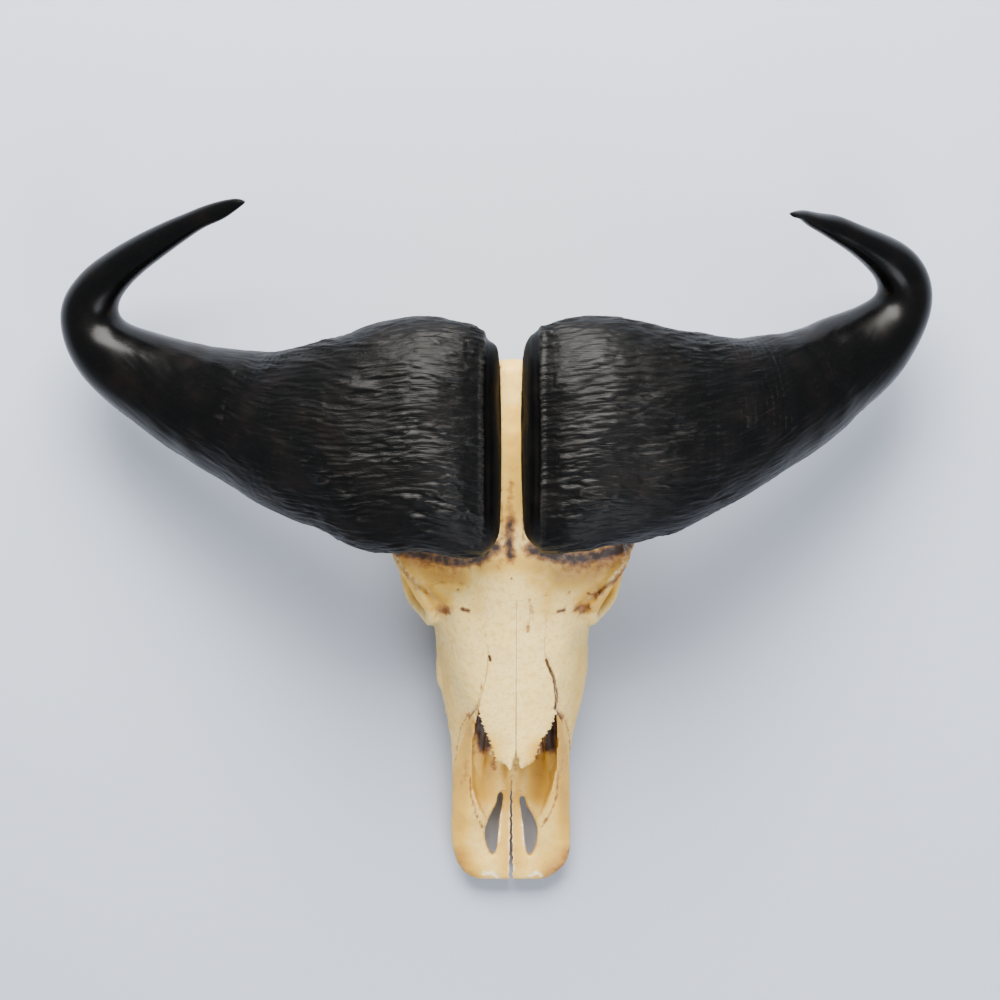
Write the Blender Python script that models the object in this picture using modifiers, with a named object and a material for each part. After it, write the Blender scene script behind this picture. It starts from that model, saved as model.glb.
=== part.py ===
"""Cape buffalo skull with both horns and no lower jaw, lying on its upper teeth.

Skull frame, in millimetres: X runs from the midline to the animal's left, Y from the muzzle tip to
the neck, Z up from the surface that the teeth and the paracondylar processes rest on. An empty
carries every bone and moves this frame so that the origin is under the middle of the whole skull.
"""

import math

import bmesh
import bpy
from mathutils import Matrix, Vector

MM = 0.001
GAP = 0.3 * MM            # between bones, teeth and horns that touch

# The middle of the skull's outline in the skull frame: horn bend to horn bend, muzzle to horn tip
CENTRE_X = -16.0
CENTRE_Y = 359.5

VOXEL = 2.6 * MM          # grain of the fused bone before it is reduced
BONE_TRIANGLES = 3700     # the fused bone after it is reduced
SMOOTH_STEPS = 4

NASAL_SUTURE_X = 4.8      # the nose of this skull leans a little to its left
NOSE_LEAN = 4.0           # the lean grows upwards from the jaw and fades out towards the forehead
LEAN_START_Z, LEAN_FULL_Z = 45.0, 95.0
LEAN_FULL_Y, LEAN_END_Y = 220.0, 290.0
NASAL_THICKNESS = 5.0
TOOTH_ROOT = 9.0          # how far a cheek tooth goes up into its socket
ALVEOLAR_Z = 26.0         # edge of the upper jaw's sockets above the crowns

# Half sections of the fused bone. Each row has a Y and nine points (X, Z) from the roof's midline
# round the cheek to the midline of the palate or the skull's base.
FACE_SECTIONS = (
    (1, ((0, 28), (16, 28), (28, 27), (35, 24), (38, 20), (36, 16), (30, 13), (15, 13), (0, 13))),
    (8, ((0, 31), (20, 31), (38, 30), (47, 27), (51, 21), (48, 16), (42, 12), (20, 12), (0, 12))),
    (20, ((0, 34), (24, 34), (46, 34), (56, 30), (60.5, 23), (57, 16), (50, 12), (24, 12), (0, 12))),
    (35, ((0, 36), (24, 37), (48, 38), (59, 34), (64, 27), (61, 19), (52, 13), (24, 13), (0, 13))),
    (60, ((0, 42), (22, 44), (46, 49), (58, 43), (64.5, 33), (62, 23), (54, 16), (26, 16), (0, 16))),
    (90, ((0, 58), (22, 60), (42, 64), (55, 55), (64, 42), (62, 30), (55, 20), (28, 20), (0, 21))),
    (120, ((0, 78), (20, 80), (38, 82), (52, 66), (63, 46), (61, 34), (54, 22), (27, 23), (0, 25))),
    (140, ((0, 92), (18, 95), (36, 95), (51, 76), (63, 50), (61, 36), (55, 23), (27, 25), (0, 28))),
    (162, ((0, 108), (16, 112), (33, 110), (50, 88), (65, 58), (64, 40), (59, 25), (28, 28), (0, 31))),
    (192, ((0, 136), (22, 132), (39, 123), (57, 100), (72, 68), (70, 45), (66, 26), (30, 31), (0, 34))),
    (232, ((0, 150), (28, 147), (50, 138), (67, 112), (80, 72), (76, 48), (71, 26), (33, 33), (0, 36))),
    (265, ((0, 161), (30, 158), (54, 150), (70, 125), (79, 88), (77, 55), (73, 26), (34, 34), (0, 37))),
    (295, ((0, 171), (32, 169), (60, 163), (75, 140), (82, 105), (80, 62), (74, 27), (34, 35), (0, 38))),
    (316, ((0, 179), (40, 178), (72, 170), (82, 150), (84, 115), (76, 70), (66, 34), (30, 36), (0, 39))),
    (328, ((0, 183), (40, 181), (76, 172), (80, 150), (76, 116), (60, 84), (44, 66), (20, 60), (0, 60))),
)
BRAIN_SECTIONS = (
    (300, ((0, 173), (34, 171), (64, 163), (72, 142), (64, 115), (48, 96), (30, 80), (15, 76), (0, 75))),
    (335, ((0, 187), (45, 184), (86, 175), (97, 166), (54, 142), (42, 112), (30, 86), (15, 76), (0, 75))),
    (356, ((0, 194), (55, 190), (103, 178), (117, 169), (72, 150), (46, 116), (32, 86), (15, 74), (0, 73))),
    (385, ((0, 203), (50, 199), (95, 186), (110, 168), (68, 142), (50, 113), (34, 84), (16, 72), (0, 70))),
    (430, ((0, 217), (45, 212), (84, 194), (98, 166), (60, 138), (54, 112), (38, 84), (18, 68), (0, 66))),
    (480, ((0, 229), (42, 222), (80, 198), (94, 166), (64, 138), (60, 112), (44, 84), (20, 64), (0, 62))),
    (520, ((0, 232), (40, 224), (76, 200), (90, 168), (76, 140), (74, 112), (52, 84), (24, 66), (0, 64))),
    (545, ((0, 232), (38, 222), (70, 198), (84, 168), (88, 138), (84, 108), (60, 82), (30, 68), (0, 66))),
    (555, ((0, 222), (28, 212), (54, 190), (68, 164), (72, 136), (64, 110), (45, 88), (24, 76), (0, 74))),
    (561, ((0, 207), (18, 199), (36, 180), (48, 158), (50, 136), (43, 114), (30, 96), (16, 84), (0, 80))),
)

NUCHAL_LEAN = 0.22        # the back of the skull slopes forward from its crest down to the condyles
NUCHAL_START_Y, NUCHAL_END_Y = 480.0, 555.0
CREST_Z = 225.0

# Free parts of the fused bone on the animal's left, as points (X, Y, Z) with a tube radius
ORBIT_RIM = ((84, 300, 151), (98, 322, 163), (115, 348, 168), (121, 362, 146), (119, 360, 112),
             (114, 338, 94), (107, 312, 93), (94, 296, 106), (84, 290, 128))
ORBIT_RIM_RADIUS = 6.5
CHEEK_ARCH = ((84, 282, 78), (104, 312, 84), (113, 345, 88), (114, 380, 92), (109, 415, 92),
              (99, 448, 90), (84, 476, 92))
CHEEK_ARCH_RADIUS = (11.0, 6.0)      # up and down, then sideways
BAR_BEHIND_EYE = ((112, 352, 168), (121, 366, 146), (121, 374, 118), (114, 374, 96))
BAR_BEHIND_EYE_RADIUS = (6.0, 7.5)
PARACONDYLAR = ((58, 520, 88), (60, 527, 60), (60, 533, 30), (59, 536, 0.4))
PARACONDYLAR_RADII = (16.0, 12.0, 8.5, 5.5)
PTERYGOID = ((25, 312, 46), (24, 340, 50), (22, 370, 56), (21, 398, 62))
PTERYGOID_RADIUS = (18.0, 4.3)
SKULL_BASE = ((0, 318, 82), (0, 370, 76), (0, 430, 70), (0, 490, 68), (0, 545, 74))
SKULL_BASE_RADIUS = (10.0, 17.0)
VOMER = ((0, 96, 30), (0, 140, 38), (0, 190, 46), (0, 250, 58))
VOMER_RADIUS = (11.0, 4.5)
TURBINATE = ((41, 110, 44), (42, 140, 58), (40, 168, 74), (36, 215, 88))
TURBINATE_RADIUS = (5.0, 6.0)

# Balls in the fused bone on the animal's left: centre, then radii
CONDYLE = ((25, 540, 78), (15, 22, 22))
BULLA = ((43, 486, 62), (12, 21, 19))
JAW_HINGE = ((76, 468, 84), (22, 13, 9))
TUBER = ((71, 234, 68), (10, 26, 13))
NUCHAL_KNOB = ((0, 546, 205), (16, 10, 16))

# Hollows cut in the fused bone, in the same way
EYE_SOCKET = ((106, 330, 129), (50, 29, 31))
EYE_SOCKET_TURN = -14             # degrees about Z: the sockets look outwards and a little forwards
LACRIMAL_PIT = ((74, 297, 158), (9, 7, 7))
FORAMEN_MAGNUM = ((0, 552, 98), (19, 50, 16))
CHOANA = ((0, 352, 52), (17, 60, 17))

# The nose: rows of Y, right edge X, left edge X, floor Z and top Z. It is open above up to the
# place where the nasal bones meet the upper jaw, and goes on under them as a closed passage.
NOSE_SIDE = ((1.0, 24), (0.93, 11), (0.72, 3), (0.35, 0))      # share of the half width, height
OPEN_NOSE = (
    (66, -22, 22, 34, 240), (80, -34, 34, 31, 240), (105, -41, 43, 31, 240), (130, -42, 48, 32, 240),
    (155, -41, 49, 34, 240), (178, -37, 48, 37, 240), (194, -33, 45, 40, 240),
)
NOSE_PASSAGE = (
    (150, -39, 46, 36, 98), (190, -38, 46, 40, 114), (240, -34, 40, 45, 130), (288, -22, 26, 54, 136),
)

# Palatine fissure on the animal's left, seen from above
FISSURE = ((21, 27), (26, 37), (28.5, 49), (27.5, 61), (22, 72), (16, 82), (12, 89), (11, 86),
           (12, 73), (13.5, 57), (15, 40), (17, 30))

# The upper jaw's floor reaches forward beside the fissure, seen from above
FLOOR_WEDGE = ((13, 92), (22, 74), (27, 62), (28.5, 54), (33, 68), (38, 86), (41.5, 106), (41.5, 130),
               (13, 130))
FLOOR_WEDGE_TOP = 44.0

# Line of the suture between premaxilla and upper jaw, seen from the side as (Y, Z)
PREMAXILLA_SUTURE = ((86, -10), (88, 26), (106, 35), (130, 49), (160, 78), (180, 103), (193, 121))
PALATINE_BAR_X = 12.0
PALATINE_BAR_Y = (80.0, 98.0)
PALATINE_BAR_TOP = 34.0
MUZZLE_GAP = ((2.0, -10), (1.4, 20), (0.7, 55), (0.5, 110))

# Reach of the cutters past the bone: in front, below, above, beside, and just off the midline
FRONT_Y, UNDER_Z, OVER_Z, BESIDE_X, MIDLINE_X = -20.0, -30.0, 280.0, 90.0, 0.1

# Nasal bones: rows of Y, inner edge and outer edge from the suture, roof Z
NASAL_ROWS = (
    (129, 5, 10, 117), (133, 2, 18, 119), (139, 0.4, 23, 121), (152, 0.4, 27, 125), (172, 0.4, 33, 131),
    (192, 0.4, 38, 138), (213, 0.4, 39.5, 145), (240, 0.4, 35, 154), (266, 0.4, 32.5, 163),
    (292, 0.4, 31, 172), (303, 3, 25, 176), (309, 9, 16, 178),
)
NASAL_CROWN = 8.5                  # how far the outer edge lies under the suture

# Cheek teeth from front to back: name, length along the row, width across it, X of its middle
TEETH = (
    ("second_premolar", 14, 11, 49), ("third_premolar", 17, 15, 51), ("fourth_premolar", 18, 19, 53),
    ("first_molar", 24, 22, 55), ("second_molar", 28, 24, 57), ("third_molar", 30, 24, 58),
)
TOOTH_ROW_Y = 162.0
TOOTH_SPACE = 1.0
TOOTH_SIDES = 12
TOOTH_LEVELS = ((ALVEOLAR_Z + TOOTH_ROOT, 0.80), (ALVEOLAR_Z - 2, 0.94), (3.0, 1.0), (0.0, 0.93))
TOOTH_SQUARENESS = 0.7            # below 1 the plan of a tooth is squarer than an oval
MOLAR_WAIST = 0.86                # width between a molar's two lobes, as a share of the full width
MOLAR_LENGTH = 20.0               # a tooth longer than this has two lobes

# Horn sections from the midline outwards, each cut across the horn: front edge (X, Y), rear edge
# (X, Y), middle Z, height above it and depth below it. X is taken away from the midline.
LEFT_HORN = (
    ((10.5, 396), (10.5, 556), 234, 9, 14), ((13, 380), (13, 566), 238, 22, 26),
    ((20, 369), (20, 578), 242, 32, 42), ((34, 360), (34, 588), 243, 41, 54),
    ((58, 360), (56, 594), 243, 50, 62), ((90, 366), (90, 597), 240, 57, 66),
    ((121, 369), (121, 595), 234, 58, 64), ((151, 376), (150, 588), 224, 60, 62),
    ((175, 384), (173, 584), 210, 60, 58), ((206, 401), (206, 581), 192, 58, 54),
    ((249, 423), (238, 579), 172, 56, 50), ((295, 451), (269, 585), 152, 53, 47),
    ((332, 474), (297, 590), 136, 49, 44), ((364, 504), (327, 603), 121, 45, 42),
    ((393, 527), (354, 612), 112, 42, 39), ((419, 558), (372, 621), 107, 38, 36),
    ((436, 589), (381, 626), 106, 34, 33), ((445, 621), (386, 632), 111, 31, 30),
    ((441, 648), (384, 642), 119, 28, 28), ((424, 672), (375, 652), 132, 24, 25),
    ((400, 684), (361, 663), 147, 21, 22), ((372, 692), (341, 675), 164, 18, 18),
    ((342, 702), (320, 685), 182, 14.5, 14.5), ((315, 705), (302, 693), 201, 10.5, 10.5),
    ((299, 706), (292, 698), 216, 7, 7), ((287, 704), (284, 699), 229, 3.5, 3.5),
    ((281.5, 702), (280.5, 701), 235, 1, 1),
)
RIGHT_HORN = (
    ((12, 389), (12, 548), 234, 9, 14), ((15, 374), (15, 566), 238, 22, 26),
    ((24, 362), (24, 574), 242, 32, 42), ((38, 356), (38, 587), 243, 41, 54),
    ((61, 356), (60, 593), 243, 50, 62), ((94, 361), (91, 597), 240, 57, 66),
    ((122, 358), (121, 594), 234, 58, 64), ((158, 364), (158, 583), 224, 60, 62),
    ((180, 378), (180, 578), 210, 60, 58), ((217, 390), (213, 570), 192, 58, 54),
    ((259, 409), (242, 565), 172, 56, 50), ((306, 437), (280, 569), 152, 53, 47),
    ((348, 460), (314, 573), 136, 49, 44), ((388, 488), (347, 581), 121, 45, 42),
    ((424, 515), (377, 590), 112, 42, 39), ((455, 545), (401, 597), 107, 38, 36),
    ((471, 574), (413, 606), 106, 34, 33), ((477, 606), (415, 613), 111, 31, 30),
    ((471, 627), (411, 624), 119, 28, 28), ((451, 651), (400, 637), 132, 24, 25),
    ((427, 666), (384, 650), 147, 21, 22), ((396, 682), (361, 664), 164, 18, 18),
    ((365, 695), (338, 678), 182, 14.5, 14.5), ((332, 706), (314, 691), 201, 11, 11),
    ((306, 714), (292, 699), 216, 8.5, 8.5), ((283, 717), (273, 710), 229, 5, 5),
    ((271, 714.5), (269, 713), 235, 1, 1),
)
HORN_SIDES = 20
TURNING_SECTIONS = (3, 10)        # between these the sections turn from upright to square to the horn
BOSS_SECTIONS = 11                # the boss fades into the round shaft over these sections
BOSS_SQUARENESS = 1.1             # how much fuller than an oval the boss is at its corners
BOSS_LUMP = 2.2                   # height of the broad lumps on top of the boss
LUMPS_ABOVE = 0.2                 # share of a section's height from which the lumps start
LUMP_TURN_ALONG, LUMP_TURN_AROUND = 3.1, 2.3

BONE = (0.72, 0.61, 0.41)
FOREHEAD_BONE = (0.76, 0.66, 0.46)
OCHRE_BONE = (0.66, 0.49, 0.27)
HORN_BLACK = (0.012, 0.011, 0.011)
TOOTH_IVORY = (0.70, 0.62, 0.46)


def clear_scene():
    for thing in list(bpy.data.objects):
        bpy.data.objects.remove(thing, do_unlink=True)


def collection(name):
    made = bpy.data.collections.new(name)
    bpy.context.scene.collection.children.link(made)
    return made


def material(name, colour, roughness):
    made = bpy.data.materials.new(name)
    made.use_nodes = True
    shader = made.node_tree.nodes["Principled BSDF"]
    shader.inputs["Base Color"].default_value = (*colour, 1.0)
    shader.inputs["Roughness"].default_value = roughness
    shader.inputs["Metallic"].default_value = 0.0
    return made


def mesh_object(name, shape, group):
    """A new object in group from the bmesh shape, which is freed."""
    bmesh.ops.recalc_face_normals(shape, faces=shape.faces)
    mesh = bpy.data.meshes.new(name)
    shape.to_mesh(mesh)
    shape.free()
    made = bpy.data.objects.new(name, mesh)
    group.objects.link(made)
    return made


def curve_points(points, count, closed=False):
    """count points on a smooth curve through the points given."""
    knots = [Vector(point) for point in points]
    spans = len(knots) if closed else len(knots) - 1
    found = []
    for step in range(count):
        place = step * spans / (count if closed else count - 1)
        span = min(int(place), spans - 1)
        part = place - span
        if closed:
            near = [knots[(span + shift) % len(knots)] for shift in (-1, 0, 1, 2)]
        else:
            near = [knots[min(max(span + shift, 0), len(knots) - 1)] for shift in (-1, 0, 1, 2)]
        before, start, end, after = near
        found.append(0.5 * (2 * start + (end - before) * part
                            + (2 * before - 5 * start + 4 * end - after) * part ** 2
                            + (3 * start - before - 3 * end + after) * part ** 3))
    return found


def add_loft(shape, rings):
    """A closed body through rings of points in millimetres, with a flat cap at each end."""
    rows = [[shape.verts.new(Vector(point) * MM) for point in ring] for ring in rings]
    for row, following in zip(rows, rows[1:]):
        for side in range(len(row)):
            after = (side + 1) % len(row)
            shape.faces.new((row[side], row[after], following[after], following[side]))
    shape.faces.new(rows[0])
    shape.faces.new(list(reversed(rows[-1])))


def add_tube(shape, points, radius, sides=12, steps=24, closed=False):
    """A tube with an oval section. radius holds one pair, up and sideways, or one value a point."""
    centres = curve_points(points, steps, closed)
    rings = []
    for step, centre in enumerate(centres):
        if closed:
            ahead = centres[(step + 1) % steps] - centres[step - 1]
        else:
            ahead = centres[min(step + 1, steps - 1)] - centres[max(step - 1, 0)]
        sideways = ahead.cross(Vector((0, 0, 1)))
        if sideways.length < 0.1 * ahead.length:
            sideways = Vector((1, 0, 0))
        sideways.normalize()
        upwards = sideways.cross(ahead).normalized()
        if len(radius) == 2:
            tall, wide = radius
        else:
            place = step * (len(radius) - 1) / (steps - 1)
            span = min(int(place), len(radius) - 2)
            tall = wide = radius[span] + (radius[span + 1] - radius[span]) * (place - span)
        rings.append([centre + upwards * tall * math.cos(turn) + sideways * wide * math.sin(turn)
                      for turn in (math.tau * side / sides for side in range(sides))])
    if not closed:
        add_loft(shape, rings)
        return
    rows = [[shape.verts.new(point * MM) for point in ring] for ring in rings]
    for step in range(steps):
        row, following = rows[step], rows[(step + 1) % steps]
        for side in range(sides):
            after = (side + 1) % sides
            shape.faces.new((row[side], row[after], following[after], following[side]))


def add_ball(shape, centre, radii, turn=0.0):
    place = (Matrix.Translation(Vector(centre) * MM) @ Matrix.Rotation(math.radians(turn), 4, "Z")
             @ Matrix.Diagonal((*(Vector(radii) * MM), 1.0)))
    bmesh.ops.create_icosphere(shape, subdivisions=3, radius=1.0, matrix=place)


def mirrored(points, side):
    return [(side * point[0], *point[1:]) for point in points]


def prism(name, outline, low, high, axis, group):
    """A straight prism on a closed outline, along Z for (X, Y) points or along X for (Y, Z)."""
    shape = bmesh.new()
    if axis == "Z":
        rings = [[(x, y, level) for x, y in outline] for level in (low, high)]
    else:
        rings = [[(level, y, z) for y, z in outline] for level in (low, high)]
    add_loft(shape, rings)
    return mesh_object(name, shape, group)


def evaluated_mesh(thing):
    bpy.context.view_layer.update()
    view = bpy.context.evaluated_depsgraph_get()
    return bpy.data.meshes.new_from_object(thing.evaluated_get(view))


def bake_modifiers(thing):
    """Puts the modified mesh in the object in place of its modifiers."""
    mesh = evaluated_mesh(thing)
    thing.modifiers.clear()
    thing.data = mesh


def boolean(thing, cutter, operation):
    step = thing.modifiers.new(operation.lower(), "BOOLEAN")
    step.operation = operation
    step.solver = "EXACT"
    step.object = cutter
    bake_modifiers(thing)


def fuse(thing):
    """Makes one skin round all the bodies in the object."""
    skin = thing.modifiers.new("skin", "REMESH")
    skin.mode = "VOXEL"
    skin.voxel_size = VOXEL
    bake_modifiers(thing)


def copy_of(thing, name, group):
    made = bpy.data.objects.new(name, thing.data.copy())
    group.objects.link(made)
    return made


def grown(thing, name, distance, group):
    """A copy of the object with its surface moved outwards."""
    made = copy_of(thing, name, group)
    shape = bmesh.new()
    shape.from_mesh(made.data)
    shape.normal_update()
    moves = [vert.normal * distance for vert in shape.verts]
    for vert, move in zip(shape.verts, moves):
        vert.co += move
    shape.to_mesh(made.data)
    shape.free()
    return made


def as_cutter(thing):
    thing.hide_render = True
    thing.display_type = "WIRE"
    return thing


def share(value, start, end):
    """How far value is on its way from start to end, from 0 to 1."""
    return min(1.0, max(0.0, (value - start) / (end - start)))


def section_ring(y, half):
    """A whole ring from a half section, smoothed and mirrored. Nose and nape lean as the skull's do."""
    slope = NUCHAL_LEAN * share(y, NUCHAL_START_Y, NUCHAL_END_Y)
    line = curve_points([(x, y + slope * (z - CREST_Z), z) for x, z in half], 17)
    ring = line + [Vector((-point.x, point.y, point.z)) for point in reversed(line[1:-1])]
    for point in ring:
        point.x += (NOSE_LEAN * share(point.z, LEAN_START_Z, LEAN_FULL_Z)
                    * share(y, LEAN_END_Y, LEAN_FULL_Y))
    return ring


def solid_bone(group):
    """The outer form of all the bones at once, before anything is cut out of it."""
    shape = bmesh.new()
    add_loft(shape, [section_ring(y, half) for y, half in FACE_SECTIONS])
    add_loft(shape, [section_ring(y, half) for y, half in BRAIN_SECTIONS])
    add_tube(shape, SKULL_BASE, SKULL_BASE_RADIUS)
    add_ball(shape, *NUCHAL_KNOB)
    for side in (-1, 1):
        add_tube(shape, mirrored(ORBIT_RIM, side), (ORBIT_RIM_RADIUS, ORBIT_RIM_RADIUS), closed=True)
        add_tube(shape, mirrored(CHEEK_ARCH, side), CHEEK_ARCH_RADIUS)
        add_tube(shape, mirrored(BAR_BEHIND_EYE, side), BAR_BEHIND_EYE_RADIUS)
        add_tube(shape, mirrored(PARACONDYLAR, side), PARACONDYLAR_RADII)
        for centre, radii in (CONDYLE, BULLA, JAW_HINGE, TUBER):
            add_ball(shape, (side * centre[0], *centre[1:]), radii)
    bone = mesh_object("bone", shape, group)
    fuse(bone)
    return bone


def nose_loft(name, rows, group):
    """A trough along the nose with a rounded floor and upright walls."""
    rings = []
    for y, right, left, floor, top in rows:
        middle, half = (right + left) / 2, (left - right) / 2
        side = [(1.0, top)] + [(part, floor + rise) for part, rise in NOSE_SIDE]
        ring = [(middle + half * part, y, z) for part, z in side]
        ring += [(middle - half * part, y, z) for part, z in reversed(side)]
        rings.append(ring)
    shape = bmesh.new()
    add_loft(shape, rings)
    return mesh_object(name, shape, group)


def hollow_bone(bone, group):
    """Cuts the nose, eye sockets, choana, fissures and foramen magnum, then adds what stands in them."""
    cuts = [nose_loft("open_nose", OPEN_NOSE, group), nose_loft("nose_passage", NOSE_PASSAGE, group)]
    holes = bmesh.new()
    add_ball(holes, *FORAMEN_MAGNUM)
    add_ball(holes, *CHOANA)
    for side in (-1, 1):
        centre, radii = EYE_SOCKET
        add_ball(holes, (side * centre[0], *centre[1:]), radii, side * EYE_SOCKET_TURN)
        centre, radii = LACRIMAL_PIT
        add_ball(holes, (side * centre[0], *centre[1:]), radii)
        cuts.append(fissure_cutter(side, group))
    cuts.append(mesh_object("holes", holes, group))
    for cutter in cuts:
        boolean(bone, as_cutter(cutter), "DIFFERENCE")
    inside = bmesh.new()
    inside.from_mesh(bone.data)
    add_tube(inside, VOMER, VOMER_RADIUS)
    for side in (-1, 1):
        add_tube(inside, [(side * x + NOSE_LEAN, y, z) for x, y, z in TURBINATE], TURBINATE_RADIUS)
        add_tube(inside, mirrored(PTERYGOID, side), PTERYGOID_RADIUS)
    inside.to_mesh(bone.data)
    inside.free()
    fuse(bone)
    soften = bone.modifiers.new("soften", "SMOOTH")
    soften.iterations = SMOOTH_STEPS
    soften.factor = 0.5
    bake_modifiers(bone)


def fissure_cutter(side, group):
    outline = [(point.x, point.y) for point in
               curve_points([(side * x, y, 0) for x, y in FISSURE], 28, closed=True)]
    return prism("fissure", outline, -10, 60, "Z", group)


def reduce_bone(bone):
    """Brings the fused bone down to the triangles that the object can carry."""
    fewer = bone.modifiers.new("fewer", "DECIMATE")
    fewer.ratio = BONE_TRIANGLES / (2 * len(bone.data.polygons))
    fewer.use_collapse_triangulate = True
    bake_modifiers(bone)


def nasal_bone(name, side, group):
    """A thin arched plate beside the nasal suture. side is 1 for the animal's left."""
    rings = []
    for y, inner, outer, roof in NASAL_ROWS:
        top = []
        for part in (0.0, 0.35, 0.7, 1.0):
            across = inner + (outer - inner) * part
            drop = NASAL_CROWN * (across / 40.0) ** 2
            top.append(Vector((NASAL_SUTURE_X + side * across, y, roof + 1.0 - drop)))
        under = [point - Vector((0, 0, NASAL_THICKNESS)) for point in reversed(top)]
        rings.append(top + under)
    shape = bmesh.new()
    add_loft(shape, rings)
    return mesh_object(name, shape, group)


def premaxilla_region(name, side, inset, group):
    """The space of one premaxilla, in front of its suture and beside the midline, inset mm smaller.

    With no inset it takes the gap along the midline as well, which the upper jaw doesn't fill."""
    suture = [(y - inset, z + inset) for y, z in PREMAXILLA_SUTURE]
    (low_y, low_z), top = suture[0], suture[-1][0]
    outline = [*suture, (top, OVER_Z), (FRONT_Y, OVER_Z), (FRONT_Y, low_z)]
    start_x = side * (MIDLINE_X if inset else -MIDLINE_X)
    region = prism(name, outline, start_x, side * BESIDE_X, "X", group)
    start_y, end_y, bar_top = PALATINE_BAR_Y[0], PALATINE_BAR_Y[1] - inset, PALATINE_BAR_TOP - inset
    bar = prism("palatine_bar", [(start_y, low_z), (end_y, low_z), (end_y, bar_top), (start_y, bar_top)],
                start_x, side * (PALATINE_BAR_X - inset), "X", group)
    boolean(region, as_cutter(bar), "UNION")
    wedge = prism("floor_wedge", mirrored(FLOOR_WEDGE, side), UNDER_Z, FLOOR_WEDGE_TOP, "Z", group)
    floor = grown(as_cutter(wedge), "floor_seat", inset * MM, group)
    boolean(region, as_cutter(floor), "DIFFERENCE")
    if not inset:
        return as_cutter(region)
    edge = [(side * (x + inset), y) for x, y in MUZZLE_GAP]
    across = [(-side * BESIDE_X, MUZZLE_GAP[-1][1]), (-side * BESIDE_X, MUZZLE_GAP[0][1])]
    gap = prism("muzzle_gap", [*edge, *across], UNDER_Z, OVER_Z + 10, "Z", group)
    boolean(region, as_cutter(gap), "DIFFERENCE")
    return as_cutter(region)


def tooth(name, side, length, width, x, y, group):
    """A cheek tooth with a flat worn crown at Z = 0. A molar has a waist between its two lobes."""
    rings = []
    for z, size in TOOTH_LEVELS:
        ring = []
        for step in range(TOOTH_SIDES):
            turn = math.tau * step / TOOTH_SIDES
            along = math.copysign(abs(math.cos(turn)) ** TOOTH_SQUARENESS, math.cos(turn))
            across = math.copysign(abs(math.sin(turn)) ** TOOTH_SQUARENESS, math.sin(turn))
            if length > MOLAR_LENGTH and step in (TOOTH_SIDES // 4, 3 * TOOTH_SIDES // 4):
                across *= MOLAR_WAIST
            ring.append((side * (x + across * width / 2 * size), y + along * length / 2 * size, z))
        rings.append(ring)
    shape = bmesh.new()
    add_loft(shape, rings)
    return mesh_object(name, shape, group)


def horn(name, side, sections, group):
    """The horn sheath as a loft: a thick boss over the forehead, a round shaft and a hooked tip."""
    middles = [Vector((side * (f[0] + r[0]) / 2, (f[1] + r[1]) / 2, z)) for f, r, z, _, _ in sections]
    rings = []
    for step, (front, rear, z, above, below) in enumerate(sections):
        ahead = middles[min(step + 1, len(middles) - 1)] - middles[max(step - 1, 0)]
        across = Vector((side * (rear[0] - front[0]), rear[1] - front[1], 0))
        half = across.length / 2
        across.normalize()
        upwards = ahead.cross(across).normalized() * side * -1
        if upwards.z < 0:
            upwards.negate()
        tilt = share(step, *TURNING_SECTIONS)
        upwards = Vector((0, 0, 1)).lerp(upwards, tilt).normalized()
        boss = 1.0 - share(step, 0, BOSS_SECTIONS)
        power = 2.0 / (2.0 + BOSS_SQUARENESS * boss)
        ring = []
        for corner in range(HORN_SIDES):
            turn = math.tau * corner / HORN_SIDES
            wide = math.copysign(abs(math.cos(turn)) ** power, math.cos(turn))
            tall = math.copysign(abs(math.sin(turn)) ** power, math.sin(turn))
            height = (above if tall > 0 else below) * tall
            lump = 0.0
            if tall > LUMPS_ABOVE:
                lump = BOSS_LUMP * boss * math.sin(LUMP_TURN_ALONG * step + LUMP_TURN_AROUND * corner)
            ring.append(middles[step] + across * half * wide + upwards * (height + lump))
        rings.append(ring)
    shape = bmesh.new()
    add_loft(shape, rings)
    return mesh_object(name, shape, group)


def finish_node(thing, look, group, carrier):
    """Puts a finished piece in the skull's collection, on the empty that carries the frame."""
    for holder in list(thing.users_collection):
        holder.objects.unlink(thing)
    group.objects.link(thing)
    thing.data.materials.clear()
    thing.data.materials.append(look)
    thing.data.shade_smooth()
    thing.data.set_sharp_from_angle(angle=math.radians(50))
    thing.parent = carrier


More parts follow.
